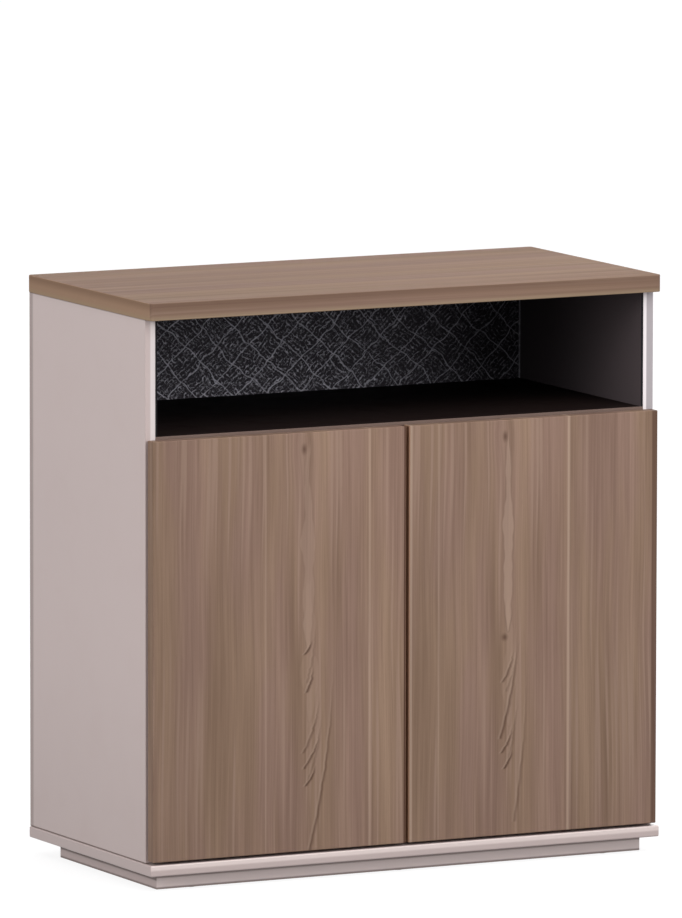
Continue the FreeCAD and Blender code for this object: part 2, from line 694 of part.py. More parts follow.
def hinge_arm(level):
    """Channel that carries both fixed pivots and sits astride the saddle."""
    tail_u, tail_v = arm_tail()
    tail = (tail_u - pin_eye, tail_v - pin_eye)
    low_tail = (side_plane + PLATE_WING + LINK_GAP + pin_eye, tail_v - pin_eye)

    def cheek(z0, z1):
        low_front = (low_tail[0], SADDLE_FRONT)
        plate = fused([hull(FRONT_ARM_PIVOT, REAR_ARM_PIVOT, pin_eye, z0, z1),
                       hull(REAR_ARM_PIVOT, tail, pin_eye, z0, z1),
                       hull(low_front, low_tail, pin_eye, z0, z1),
                       hull(FRONT_ARM_PIVOT, low_front, pin_eye, z0, z1),
                       hull(tail, low_tail, pin_eye, z0, z1),
                       extruded([plan(FRONT_ARM_PIVOT), plan(REAR_ARM_PIVOT), plan(tail),
                                 plan(low_tail), plan(low_front)], z1 - z0, z0)])
        return cut(plate, [disc(FRONT_ARM_PIVOT, HINGE_PIN_RADIUS, z0, z1),
                           disc(REAR_ARM_PIVOT, HINGE_PIN_RADIUS, z0, z1)])

    half = ARM_PLATE / 2
    web = hull((tail_u - half, SADDLE_FRONT), (tail_u - half, tail_v - pin_eye), half,
               level - arm_half, level + arm_half)
    seats = [rod(ARM_SCREW_RADIUS + SCREW_FIT, 2 * ARM_RISE, (x - ARM_RISE, y, z), (1, 0, 0))
             for x, y, z in arm_screw_seats(level)]
    return cut(fused(pair(cheek, arm_half, ARM_PLATE, level) + [web]), seats)


def hinge_plate(level):
    """Mounting plate: two screwed ears and the saddle under the arm."""
    x = -side_inner
    y = carcass_front + PLATE_SCREW_SETBACK
    ears = [(y, level + way * PLATE_SCREW_PITCH / 2) for way in (-1, 1)]
    wing = block(x, x + PLATE_WING, y - PLATE_EAR_RADIUS, y + PLATE_EAR_RADIUS,
                 ears[0][1], ears[1][1])
    rounds = [rod(PLATE_EAR_RADIUS, PLATE_WING, (x, ey, ez), (1, 0, 0)) for ey, ez in ears]
    half = arm_half - ARM_PLATE - SADDLE_GAP
    front, rear = door_back + SADDLE_FRONT, door_back + SADDLE_REAR
    saddle = block(x, x + SADDLE_RISE, front, rear, level - half, level + half)
    body = fused([wing, saddle] + rounds)
    holes = [rod(PLATE_SCREW_RADIUS + SCREW_FIT, PLATE_WING, (x, ey, ez), (1, 0, 0))
             for ey, ez in ears]
    holes += [arm_screw_hole(seat) for seat in arm_screw_seats(level)]
    return cut(body, holes)


def arm_screw_hole(seat):
    """Blind threaded hole of the saddle under one arm screw."""
    x, y, z = seat
    return rod(ARM_SCREW_RADIUS + SCREW_FIT, ARM_SCREW_LENGTH, (x - ARM_SCREW_LENGTH, y, z),
               (1, 0, 0))


def hinge_plate_screws(level):
    """Screws of one mounting plate, driven into the left side panel."""
    y = carcass_front + PLATE_SCREW_SETBACK
    return [pan_head(PLATE_SCREW_RADIUS, PLATE_SCREW_HEAD_RADIUS, PLATE_SCREW_LENGTH,
                     (-side_inner + PLATE_WING, y, level + way * PLATE_SCREW_PITCH / 2),
                     (-1, 0, 0)) for way in (-1, 1)]


def hinge_plate_pilots(level):
    """Drillings of the left side panel for one mounting plate."""
    y = carcass_front + PLATE_SCREW_SETBACK
    return [rod(PLATE_SCREW_RADIUS + SCREW_FIT, PLATE_SCREW_LENGTH - PLATE_WING + SCREW_FIT,
                (-side_inner, y, level + way * PLATE_SCREW_PITCH / 2), (-1, 0, 0))
            for way in (-1, 1)]


def cup_ears(level):
    """Plan point and heights of a cup's two screws."""
    u = cup_centre[0] + CUP_EAR_OFFSET
    x, y = plan((u, CUP_FLANGE))
    return [(x, y, level + way * CUP_EAR_PITCH / 2) for way in (-1, 1)]


def hinge_cup(level):
    """Bowl with a screwed flange and two inner cheeks that hold the link pins."""
    x, y = plan(cup_centre)
    bowl = rod(CUP_RADIUS, CUP_DEPTH, (x, y, level), (0, -1, 0))
    rim = rod(CUP_RADIUS, CUP_FLANGE, (x, y, level), (0, 1, 0))
    ears = cup_ears(level)
    ear_x = ears[0][0]
    flange = block(ear_x - CUP_EAR_RADIUS, ear_x + CUP_EAR_RADIUS, y, y + CUP_FLANGE,
                   ears[0][2], ears[1][2])
    lobes = [rod(CUP_EAR_RADIUS, CUP_FLANGE, (ex, y, ez), (0, 1, 0)) for ex, _, ez in ears]
    hollow = rod(CUP_RADIUS - CUP_WALL, CUP_DEPTH - CUP_WALL + CUP_FLANGE,
                 (x, y + CUP_FLANGE, level), (0, -1, 0))
    shell = fused([bowl, rim, flange] + lobes).cut(hollow)
    inside = rod(CUP_RADIUS - CUP_WALL / 2, CUP_DEPTH - CUP_WALL / 2, (x, y, level), (0, -1, 0))

    def cheek(z0, z1):
        reach = (cup_centre[0] - CUP_RADIUS, REAR_CUP_PIVOT[1])
        return fused([hull(FRONT_CUP_PIVOT, REAR_CUP_PIVOT, pin_eye, z0, z1),
                      hull(FRONT_CUP_PIVOT, (reach[0], FRONT_CUP_PIVOT[1]), pin_eye, z0, z1),
                      hull(REAR_CUP_PIVOT, reach, pin_eye, z0, z1),
                      hull(REAR_CUP_PIVOT, (REAR_CUP_PIVOT[0], -CUP_DEPTH), pin_eye, z0, z1)])

    cheeks = [plate.common(inside) for plate in pair(cheek, cheek_half, CUP_CHEEK, level)]
    body = fused([shell] + cheeks)
    bores = [disc(pivot, HINGE_PIN_RADIUS, level - cheek_half, level + cheek_half)
             for pivot in (FRONT_CUP_PIVOT, REAR_CUP_PIVOT)]
    screw_holes = [rod(CUP_SCREW_RADIUS + SCREW_FIT, CUP_FLANGE, (ex, y, ez), (0, 1, 0))
                   for ex, _, ez in ears]
    return cut(body, bores + screw_holes)


def cup_pins(level):
    """Two stub pins of the front link and the long pin of the rear link."""
    stubs = pair(lambda z0, z1: disc(FRONT_CUP_PIVOT, HINGE_PIN_RADIUS, z0, z1),
                 cheek_half, cheek_half - REAR_LINK_HALF - LINK_GAP, level)
    return stubs + [disc(REAR_CUP_PIVOT, HINGE_PIN_RADIUS, level - cheek_half, level + cheek_half)]


def cup_screws(level):
    """Screws of one cup, driven into the left door's back."""
    return [pan_head(CUP_SCREW_RADIUS, CUP_SCREW_HEAD_RADIUS, CUP_SCREW_LENGTH, place, (0, -1, 0))
            for place in cup_ears(level)]


def cup_pockets(level):
    """Drillings of the left door for one cup and its screws."""
    x, y = plan(cup_centre)
    depth = CUP_DEPTH + CUP_FIT
    pilots = [rod(CUP_SCREW_RADIUS + SCREW_FIT, CUP_SCREW_LENGTH - CUP_FLANGE + SCREW_FIT,
                  (ex, y, ez), (0, -1, 0)) for ex, _, ez in cup_ears(level)]
    return [rod(CUP_RADIUS + CUP_FIT, depth, (x, y, level), (0, -1, 0))] + pilots


def arm_pins(level):
    """Both fixed pivots of one arm."""
    return [disc(pivot, HINGE_PIN_RADIUS, level - arm_half, level + arm_half)
            for pivot in (FRONT_ARM_PIVOT, REAR_ARM_PIVOT)]


def arm_screws(level):
    """Clamping and adjusting screws of one arm."""
    return [pan_head(ARM_SCREW_RADIUS, ARM_SCREW_HEAD_RADIUS, ARM_SCREW_LENGTH, seat, (-1, 0, 0))
            for seat in arm_screw_seats(level)]


# ------------------------------------------------------------------ push-to-open latches
latch_level = niche_floor_under - LATCH_FLANGE - LATCH_BODY_RADIUS
latch_mouth = carcass_front + LATCH_BODY_SETBACK
strike_face = door_back + STRIKE_THICKNESS
plunger_length = PLUNGER_TRAVEL + PLUNGER_GUIDE


def latch_screw_places():
    """Screws through the left latch's flange, up into the niche floor."""
    middle = latch_mouth + LATCH_FLANGE_LENGTH / 2 + LATCH_BODY_RADIUS
    return [(-LATCH_OFFSET + way * LATCH_SCREW_HALF_PITCH, middle,
             niche_floor_under - LATCH_FLANGE) for way in (-1, 1)]


def latch_screw_holes():
    """Drillings of the flange and the niche floor."""
    return [rod(LATCH_SCREW_RADIUS + SCREW_FIT, LATCH_SCREW_LENGTH + SCREW_FIT, place, (0, 0, 1))
            for place in latch_screw_places()]


def latch_housing():
    """Left latch: a barrel hung under the niche floor by a flange."""
    x = -LATCH_OFFSET
    start = latch_mouth + LATCH_BODY_RADIUS
    barrel = rod(LATCH_BODY_RADIUS, plunger_length + LATCH_END_WALL,
                 (x, latch_mouth, latch_level), (0, 1, 0))
    neck = block(x - LATCH_NECK_WIDTH / 2, x + LATCH_NECK_WIDTH / 2, start,
                 start + LATCH_FLANGE_LENGTH, latch_level, niche_floor_under)
    flange = block(x - LATCH_FLANGE_WIDTH / 2, x + LATCH_FLANGE_WIDTH / 2, start,
                   start + LATCH_FLANGE_LENGTH, niche_floor_under - LATCH_FLANGE,
                   niche_floor_under)
    flange = rounded(flange, LATCH_FLANGE, upright)
    bore = rod(PLUNGER_RADIUS + PLUNGER_FIT, plunger_length, (x, latch_mouth, latch_level),
               (0, 1, 0))
    return cut(fused([barrel, neck, flange]), [bore] + latch_screw_holes())


def latch_plunger():
    """Left plunger: a round bar with a collar that holds the magnet."""
    neck = MAGNET_LENGTH + MAGNET_COLLAR
    return turned([(0, MAGNET_LENGTH), (MAGNET_RADIUS, MAGNET_LENGTH), (MAGNET_RADIUS, neck),
                   (PLUNGER_RADIUS, neck), (PLUNGER_RADIUS, plunger_length - PLUNGER_CHAMFER),
                   (PLUNGER_RADIUS - PLUNGER_CHAMFER, plunger_length), (0, plunger_length)],
                  (-LATCH_OFFSET, strike_face + STRIKE_GAP, latch_level), (0, 1, 0))


def latch_magnet():
    """Left plunger's magnet, with a broken front edge."""
    return turned([(0, 0), (MAGNET_RADIUS - MAGNET_CHAMFER, 0), (MAGNET_RADIUS, MAGNET_CHAMFER),
                   (MAGNET_RADIUS, MAGNET_LENGTH), (0, MAGNET_LENGTH)],
                  (-LATCH_OFFSET, strike_face + STRIKE_GAP, latch_level), (0, 1, 0))


def strike_plate(grow=0.0):
    """Left strike: a steel disc on a pin pressed into the door's back."""
    pin_end = -STRIKE_PIN_LENGTH - grow
    return turned([(0, pin_end), (STRIKE_PIN_RADIUS + grow, pin_end),
                   (STRIKE_PIN_RADIUS + grow, 0), (STRIKE_RADIUS, 0),
                   (STRIKE_RADIUS, STRIKE_THICKNESS), (0, STRIKE_THICKNESS)],
                  (-LATCH_OFFSET, door_back, latch_level), (0, 1, 0))


# ------------------------------------------------------------------ the whole part
def per_hinge(make):
    """Left-hand hinge pieces at both hinge levels, as one flat list."""
    made = [make(level) for level in hinge_levels]
    return [piece for item in made for piece in (item if isinstance(item, list) else [item])]


def carcass_nodes():
    """The pieces that stay still, by node name."""
    fittings = joint_holes()
    back_holes = back_screws(SCREW_FIT)
    block_holes = block_screws(SCREW_FIT)
    latch_holes = both_sides(latch_screw_holes())
    glides = [glide(x, y) for x, y in glide_places()]
    glide_holes = [rod(GLIDE_NAIL_RADIUS + SCREW_FIT, GLIDE_NAIL_LENGTH + SCREW_FIT,
                       (x, y, GLIDE_HEIGHT), (0, 0, 1)) for x, y in glide_places()]
    dowels, bolts, cams = joint_places()

    panel = side_panel(fittings + back_holes + shelf_pin_holes() + per_hinge(hinge_plate_pilots))
    nodes = {
        "worktop": worktop(fittings),
        "side_panel_left": panel,
        "side_panel_right": mirrored(panel),
        "base_plate": base_plate(fittings + block_holes),
        "niche_floor": niche_floor(fittings + back_holes + latch_holes),
        "niche_floor_edging": niche_floor_edging(),
        "niche_liner_left": niche_liner(),
        "niche_liner_right": mirrored(niche_liner()),
        "niche_ceiling": niche_ceiling(),
        "niche_back_panel": back_panel(back_joint() + BACK_JOINT_GAP / 2, top_under, back_holes),
        "cupboard_back_panel": back_panel(base_top, back_joint() - BACK_JOINT_GAP / 2, back_holes),
        "adjustable_shelf": adjustable_shelf(),
        "shelf_supports": both_sides([shelf_support(y) for y in shelf_pin_columns()]),
        "plinth_corner_blocks": [plinth_block(x, y, sx, sy, block_holes)
                                 for x, y, sx, sy in block_corners()],
        "plinth_block_screws": block_screws(),
        "glides": glides,
        "back_panel_screws": back_screws(),
        "dowels": both_sides([dowel(place, way) for place, way in dowels]),
        "cam_bolts": both_sides([cam_bolt(place, way) for place, way in bolts]),
        "cam_locks": both_sides([cam(*fitting) for fitting in cams]),
        "hinge_plates": both_sides(per_hinge(hinge_plate)),
        "hinge_plate_screws": both_sides(per_hinge(hinge_plate_screws)),
        "hinge_arms": both_sides(per_hinge(hinge_arm)),
        "hinge_arm_pins": both_sides(per_hinge(arm_pins)),
        "hinge_arm_screws": both_sides(per_hinge(arm_screws)),
        "latch_housings": both_sides([latch_housing()]),
        "latch_screws": both_sides([
            pan_head(LATCH_SCREW_RADIUS, LATCH_SCREW_HEAD_RADIUS, LATCH_SCREW_LENGTH, place,
                     (0, 0, 1)) for place in latch_screw_places()]),
    }
    nodes.update(plinth_rails(glide_holes))
    return nodes


def left_moving_nodes():
    """The left door with all that rides on it, its links and its plunger."""
    holes = per_hinge(cup_pockets) + [strike_plate(SCREW_FIT)]
    return {
        "door": door(holes),
        "hinge_cups": per_hinge(hinge_cup),
        "hinge_cup_pins": per_hinge(cup_pins),
        "hinge_cup_screws": per_hinge(cup_screws),
        "door_bumpers": [door_bumper(x, z) for x, z in door_bumper_places()],
        "strike_plate": strike_plate(),
        "front_links": per_hinge(front_link),
        "rear_links": per_hinge(rear_link),
        "latch_plunger": latch_plunger(),
        "latch_magnet": latch_magnet(),
    }


def joined(pieces):
    """One shape for a node: a solid, or a group of separate solids."""
    if not isinstance(pieces, list):
        pieces = [pieces]
    solids = [solid for piece in pieces for solid in piece.Solids]
    return solids[0] if len(solids) == 1 else Part.makeCompound(solids)


def build():
    """Every node of the credenza, by name."""
    nodes = {name: joined(pieces) for name, pieces in carcass_nodes().items()}
    for name, pieces in left_moving_nodes().items():
        left = joined(pieces)
        nodes[name + "_left"] = left
        nodes[name + "_right"] = joined(mirrored(left))
    return nodes


def main():
    os.makedirs("parts", exist_ok=True)
    for name, shape in build().items():
        shape.exportStep(os.path.join("parts", name + ".step"))


main()
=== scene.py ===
"""Office credenza: finishes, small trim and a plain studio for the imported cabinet.

Metres. +Z is up, -Y is the front and +X is to the right as seen from the front.
"""
import math

import bmesh
import bpy
from bpy.props import FloatProperty, FloatVectorProperty, PointerProperty
from mathutils import Matrix, Vector


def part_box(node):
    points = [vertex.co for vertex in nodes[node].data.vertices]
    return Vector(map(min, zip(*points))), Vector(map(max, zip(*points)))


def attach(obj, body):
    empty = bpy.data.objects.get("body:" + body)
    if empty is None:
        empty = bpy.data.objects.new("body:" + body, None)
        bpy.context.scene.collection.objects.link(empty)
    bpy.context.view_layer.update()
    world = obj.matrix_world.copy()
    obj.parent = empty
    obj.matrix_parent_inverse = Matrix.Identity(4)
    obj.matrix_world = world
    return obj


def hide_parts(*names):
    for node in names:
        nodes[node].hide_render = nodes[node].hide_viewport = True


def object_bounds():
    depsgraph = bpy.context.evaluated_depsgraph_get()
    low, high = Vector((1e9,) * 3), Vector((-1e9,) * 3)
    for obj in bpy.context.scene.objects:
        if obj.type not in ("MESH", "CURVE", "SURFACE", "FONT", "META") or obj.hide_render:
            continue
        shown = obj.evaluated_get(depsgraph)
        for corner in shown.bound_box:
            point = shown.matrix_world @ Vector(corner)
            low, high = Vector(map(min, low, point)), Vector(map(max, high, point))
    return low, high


bl_info = {
    "name": "Office Credenza Finishes",
    "version": (1, 0, 0),
    "blender": (4, 5, 0),
    "location": "3D View > Sidebar > Credenza",
    "description": "Dresses a two-door office credenza with laminates, fittings and a plain studio",
    "category": "Object",
}

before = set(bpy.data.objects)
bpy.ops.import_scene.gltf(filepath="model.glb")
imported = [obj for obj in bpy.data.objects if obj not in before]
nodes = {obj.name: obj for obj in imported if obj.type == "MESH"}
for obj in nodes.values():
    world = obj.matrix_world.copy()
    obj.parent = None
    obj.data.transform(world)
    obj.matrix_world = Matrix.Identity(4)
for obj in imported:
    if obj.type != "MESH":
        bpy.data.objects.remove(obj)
cabinet_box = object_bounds()

BLACK = (0.0, 0.0, 0.0)
WHITE = (1.0, 1.0, 1.0)
SIDES = ("left", "right")

# Depth of the textures.
WOOD_BUMP = 0.00006
LAMINATE_BUMP = 0.00003
FINE_BUMP = 0.00002
LATTICE_BUMP = 0.00008
SOFTWOOD_BUMP = 0.0002
DOWEL_BUMP = 0.0001

# A band is painted along an edge of a board: full up to its first distance from that edge,
# and gone at its second.
FRONT_EDGE = (0.0003, 0.0008)
# The worktop's two bands are painted shade at the top of its front edge and a painted highlight along
# its lower arris.
WORKTOP_UPPER_SHADE = (0.0030, 0.0150)
WORKTOP_LOWER_GLOW = (0.0015, 0.0090)
DOOR_GAP_EDGE = (0.0007, 0.0011)
# The left door's rim band is painted shade on its face beside the gap between the doors.
LEFT_DOOR_GAP_SHADE = (0.0026, 0.0042)
RIGHT_DOOR_RIM = (0.0080, 0.0100)
# The side panels' bands are painted shade towards their rear edge and foot, and painted shadow lines in
# the joints at their foot and head.
PANEL_REAR_SHADE = (0.0080, 0.0140)
PANEL_FOOT_SHADE = (0.0, 0.35)
PANEL_FOOT_SEAM_SHADOW = (0.0012, 0.0028)
PANEL_HEAD_SEAM_SHADOW = (0.0008, 0.0018)
# The plinth's bands are painted shadow, along its foot and along its top under the base plate.
PLINTH_FOOT_SHADOW = (0.0015, 0.0040)
PLINTH_HEAD_SHADOW = (0.0045, 0.0075)
PLINTH_SIDE_SHADOW = (0.0080, 0.0110)
# The base plate's two bands together hold a painted highlight on the upper part of its front edge.
BASE_FRONT_BAND = (0.0004, 0.0024)
BASE_UPPER_BAND = (0.0050, 0.0090)
LATTICE_CORNER_SEAM = (0.0018, 0.0030)
LATTICE_BACK = (0.0006, 0.0012)

# Both figures grow upwards beside an axis, a place in x. A streak is its place in x, its width
# and its strength. A stroke is a figure line: its foot's height, its start beside the axis, its
# reach to the right, its height and its strength. A tongue is a pale rounded strip: its foot's
# height, half width, height and strength. A knot is its height, half width, half height and
# strength, and the grain bends round the first. The drift is the door's brightness factor at
# its left and right edge, and the step that it takes beyond the first streak.
DOORS = {
    "left": {
        "axis": -0.166, "seed": 2.0, "drift": (0.93, 1.12, 1.0),
        "streaks": [(-0.061, 0.0028, 0.45), (-0.227, 0.0022, 0.3)],
        "strokes": [(0.325, -0.001, 0.014, 0.025, 0.85), (0.270, 0.003, 0.013, 0.044, 0.80),
                    (0.284, 0.004, 0.015, 0.090, 0.30), (0.183, -0.002, 0.027, 0.090, 0.50),
                    (0.160, -0.001, 0.027, 0.066, 0.70), (0.135, 0.001, 0.018, 0.036, 0.85),
                    (0.142, 0.006, 0.024, 0.120, 0.30), (0.036, 0.007, 0.041, 0.300, 0.60)],
        "tongues": [(0.330, 0.011, 0.290, 0.22), (0.228, 0.014, 0.200, 0.10)],
        "knots": [(0.622, 0.0060, 0.0120, 0.65)],
    },
    "right": {
        "axis": 0.157, "seed": 5.0, "drift": (1.0, 1.14, 0.92),
        "streaks": [(0.2605, 0.0035, 0.7), (0.050, 0.0024, 0.35)],
        "strokes": [(0.264, -0.004, 0.019, 0.054, 0.65), (0.250, 0.002, 0.022, 0.090, 0.30),
                    (0.182, -0.007, 0.029, 0.175, 0.65), (0.161, -0.006, 0.020, 0.046, 0.75),
                    (0.138, -0.002, 0.016, 0.036, 0.85), (0.148, 0.006, 0.016, 0.120, 0.30),
                    (0.060, 0.016, 0.021, 0.240, 0.40)],
        "tongues": [(0.337, 0.009, 0.285, 0.40), (0.200, 0.012, 0.180, 0.12)],
        "knots": [(0.622, 0.0060, 0.0120, 0.65), (0.331, 0.0078, 0.0080, 0.65)],
    },
}


# ---------------------------------------------------------------- settings
def srgb(*tone):
    """A screen colour, 0 to 255 a channel, as the linear values that shaders use."""
    shares = [value / 255 for value in tone]
    return tuple(share / 12.92 if share <= 0.04045 else ((share + 0.055) / 1.055) ** 2.4
                 for share in shares)


def colour(label, text, *tone):
    return FloatVectorProperty(name=label, description=text, subtype="COLOR", size=3,
                               min=0.0, max=1.0, default=srgb(*tone))


def length(label, text, value, low=0.0, high=2.0):
    return FloatProperty(name=label, description=text, default=value, min=low, max=high,
                         subtype="DISTANCE", unit="LENGTH", precision=4)


def angle(label, text, degrees):
    return FloatProperty(name=label, description=text, default=math.radians(degrees),
                         subtype="ANGLE", unit="ROTATION")


def amount(label, text, value, high):
    return FloatProperty(name=label, description=text, default=value, min=0.0, max=high)


class CredenzaColours(bpy.types.PropertyGroup):
    """Colours of the boards and fittings."""
    wood_light: colour("Wood, light streaks", "Lightest streaks of the woodgrain", 149, 124, 109)
    wood_dark: colour("Wood, dark streaks", "Darkest streaks of the woodgrain", 117, 94, 81)
    wood_streak: colour("Wood, pale streaks", "Palest streaks, and the pale side of the figure",
                        172, 148, 131)
    # The figure lines and knots are print; the left door's dark rim beside the door gap is painted
    # shade.
    wood_line: colour("Wood, figure lines", "Figure lines, knots and dark rims of the doors",
                      74, 48, 37)
    door_edge: colour("Door edge band", "Edge bands in the gap between the doors", 156, 122, 100)
    top_end: colour("Worktop end band", "Edge bands on the two ends of the worktop",
                    162, 133, 111)
    # Painted highlight along the lower arris of the worktop's front edge.
    painted_edge_highlight: colour("Worktop lower arris", "Pale lower line of the worktop's edge band",
                       160, 142, 116)
    plain: colour("Carcass laminate", "Side panels and shelf", 199, 182, 179)
    # Painted highlight and painted shade on the side panels' front edges: the inner parts are painted
    # highlights, and the right panel's outer part is painted shade.
    painted_left_edge_highlight: colour("Left panel's inner edge", "Inner part of the left panel's front edge",
                       212, 202, 201)
    painted_panel_shade: colour("Right panel's outer edge", "Outer part of the right panel's front edge",
                        168, 160, 164)
    painted_panel_highlight: colour("Right panel's inner edge", "Inner part of the right panel's front edge",
                       240, 231, 233)
    base: colour("Base laminate", "Base plate, and outer part of the left panel's front edge",
                 187, 170, 167)
    # Painted highlight on the upper part of the base plate's front edge.
    painted_base_edge_highlight: colour("Base edge band", "Upper part of the base plate's front edge",
                      222, 206, 202)
    # Painted shade: the dark lines where boards meet, the plinth's dark edges and the darkening low and
    # at the rear of the side panels.
    joint: colour("Joint line", "Dark line where boards meet, and sealed edges", 92, 72, 64)
    # Lit and shaded copies of one laminate: the front and back rails are painted lighter against the
    # base plate's shade, and the side rails are painted darker as shade near the floor.
    plinth: colour("Plinth laminate", "Front and back rails of the plinth", 216, 200, 197)
    plinth_side_shade: colour("Plinth side laminate", "Side rails of the plinth", 184, 165, 162)
    dark: colour("Niche laminate", "Sides and ceiling of the niche", 88, 79, 81)
    # The deep part is painted shade in the back of the niche; the front edges are darker too.
    niche_inside: colour("Niche depth", "Deep part and front edges of the niche's linings",
                         24, 23, 27)
    niche_floor: colour("Niche floor laminate", "Floor of the niche", 34, 26, 25)
    niche_edge: colour("Niche edge band", "Front edge of the niche's floor", 98, 76, 66)
    lattice_ground: colour("Lattice ground", "Board behind the lattice", 52, 49, 54)
    lattice_line: colour("Lattice lines", "Printed lines of the lattice", 222, 220, 232)
    back_board: colour("Cupboard back", "Plain thin back of the cupboard", 176, 166, 160)


class CredenzaSizes(bpy.types.PropertyGroup):
    """Sizes of the patterns."""
    lattice_width: length("Lattice cell width", "One diamond of the lattice, across", 0.054, 0.01)
    lattice_height: length("Lattice cell height", "One diamond of the lattice, up", 0.050, 0.01)
    lattice_line: length("Lattice line", "Width of a printed line", 0.0020, 0.0002, 0.02)
    figure_line: length("Figure line", "Width of a figure line at its foot", 0.0042, 0.0002)
    streak_width: length("Streak width", "Typical width of a streak in the woodgrain", 0.009, 0.001)
    pore_width: length("Pore width", "Typical width of the finest grain", 0.0011, 0.0002)


class CredenzaStudio(bpy.types.PropertyGroup):
    """Light and camera of the studio."""
    key: amount("Key lamp", "Watts of the soft lamp in front, to the right", 31.0, 500.0)
    fill: amount("Left lamp", "Watts of the soft lamp on the left", 107.0, 500.0)
    low: amount("Low light", "Far light from the front right, near the floor", 1.48, 10.0)
    top: amount("Top light", "Far light from overhead", 1.08, 10.0)
    back: amount("Back light", "Far light from behind, to the right", 1.6, 10.0)
    sky: amount("Room light", "Even light from all around", 0.25, 4.0)
    floor_tone: colour("Floor", "Colour that the floor bounces back", 125, 124, 125)
    floor_glow: amount("Floor paleness", "Paleness that the floor has in view", 0.86, 2.0)
    camera_azimuth: angle("Camera azimuth", "Turn from straight in front, to the left", 26.955)
    camera_elevation: angle("Camera elevation", "Height above level, as an angle", 7.464)
    camera_roll: angle("Camera roll", "Camera's turn about its own axis", 0.083)
    camera_distance: length("Camera distance", "From the camera to the point it looks at",
                            17.5592, 1.0, 50.0)
    camera_right: length("Aim right", "Aim's shift to the right of the cabinet's middle",
                         -0.004864, -1.0, 1.0)
    camera_up: length("Aim up", "Aim's shift above the cabinet's middle", 0.152209, -1.0, 1.0)
    focal_length: FloatProperty(name="Focal length", description="Lens, in millimetres",
                                default=476.354, min=10.0, max=2000.0, unit="CAMERA")


class CredenzaSettings(bpy.types.PropertyGroup):
    """Everything that a user would change."""
    colours: PointerProperty(type=CredenzaColours)
    sizes: PointerProperty(type=CredenzaSizes)
    studio: PointerProperty(type=CredenzaStudio)


def settings():
    return bpy.context.scene.credenza


# ---------------------------------------------------------------- shader sheets
class Value:
    """A socket to reckon with: each sum or product adds its node to the sheet."""

    def __init__(self, sheet, socket):
        self.sheet = sheet
        self.socket = socket

    def __add__(self, other):
        return self.sheet.math("ADD", self, other)

    def __sub__(self, other):
        return self.sheet.math("SUBTRACT", self, other)

    def __rsub__(self, other):
        return self.sheet.math("SUBTRACT", other, self)

    def __mul__(self, other):
        return self.sheet.math("MULTIPLY", self, other)

    def __truediv__(self, other):
        return self.sheet.math("DIVIDE", self, other)

    def __rtruediv__(self, other):
        return self.sheet.math("DIVIDE", other, self)

    def __abs__(self):
        return self.sheet.math("ABSOLUTE", self)

    __radd__ = __add__
    __rmul__ = __mul__


class Sheet:
    """Short ways to add nodes to one node tree."""

    def __init__(self, tree):
        self.tree = tree

    def node(self, kind, inputs=None, **properties):
        made = self.tree.nodes.new("ShaderNode" + kind)
        for key, value in properties.items():
            setattr(made, key, value)
        for key, value in (inputs or {}).items():
            self.feed(made.inputs[key], value)
        return made

    def feed(self, socket, value):
        if isinstance(value, Value):
            value = value.socket
        if isinstance(value, bpy.types.NodeSocket):
            self.tree.links.new(value, socket)
        elif socket.type == "RGBA" and len(value) == 3:
            socket.default_value = (*value, 1.0)
        else:
            socket.default_value = value

    def feed_all(self, sockets, **values):
        """Feed sockets by name, with an underscore for each blank."""
        for key, value in values.items():
            self.feed(sockets[key.replace("_", " ")], value)

    def values(self, sockets):
        return {socket.name: Value(self, socket) for socket in sockets}

    def math(self, operation, first, second=0.0, clamp=False):
        made = self.node("Math", {0: first, 1: second}, operation=operation, use_clamp=clamp)
        return Value(self, made.outputs[0])

    def clamp(self, value):
        return self.math("ADD", value, clamp=True)

    def most(self, first, *others):
        """The highest of some values."""
        for other in others:
            first = self.math("MAXIMUM", first, other)
        return first

    def ramp(self, value, low, high, start=0.0, end=1.0, smooth=True):
        """Value between low and high mapped to start and end."""
        made = self.node("MapRange", {"Value": value, "From Min": low, "From Max": high,
                                      "To Min": start, "To Max": end},
                         interpolation_type="SMOOTHSTEP" if smooth else "LINEAR")
        return Value(self, made.outputs["Result"])

    def above(self, value, low, high, share=1.0):
        """0 up to low, and a share from high on."""
        return self.ramp(value, low, high, 0.0, share)

    def below(self, value, low, high, share=1.0):
        """A share up to low, and 0 from high on."""
        return self.ramp(value, low, high, share, 0.0)

    def beside_low(self, value, edge, band, share=1.0):
        """A band along a board's edge where the value is lowest."""
        return self.below(value, edge + band[0], edge + band[1], share)

    def beside_high(self, value, edge, band, share=1.0):
        """A band along a board's edge where the value is highest."""
        return self.above(value, edge - band[1], edge - band[0], share)

    def mix(self, share, first, second, blend="MIX"):
        made = self.node("Mix", data_type="RGBA", blend_type=blend)
        self.feed(made.inputs["Factor"], share)
        self.feed(made.inputs[6], first)
        self.feed(made.inputs[7], second)
        return Value(self, made.outputs[2])

    def scale(self, tone, factor):
        """A colour made lighter or darker."""
        made = self.node("VectorMath", {0: tone}, operation="SCALE")
        self.feed(made.inputs["Scale"], factor)
        return Value(self, made.outputs[0])

    def vector(self, x, y, z=0.0):
        return Value(self, self.node("CombineXYZ", {"X": x, "Y": y, "Z": z}).outputs[0])

    def split(self, vector):
        return [Value(self, part) for part in self.node("SeparateXYZ", {0: vector}).outputs]

    def noise(self, vector, scale, detail, roughness=0.5, distortion=0.0, output="Fac"):
        made = self.node("TexNoise", {"Vector": vector, "Scale": scale, "Detail": detail,
                                      "Roughness": roughness, "Distortion": distortion})
        return Value(self, made.outputs[output])

    def effect(self, name, **inputs):
        """One shared effect placed on the sheet, with its own values."""
        tree = bpy.data.node_groups.get(name) or GROUP_MAKERS[name]()
        made = self.node("Group", node_tree=tree)
        self.feed_all(made.inputs, **inputs)
        return self.values(made.outputs)


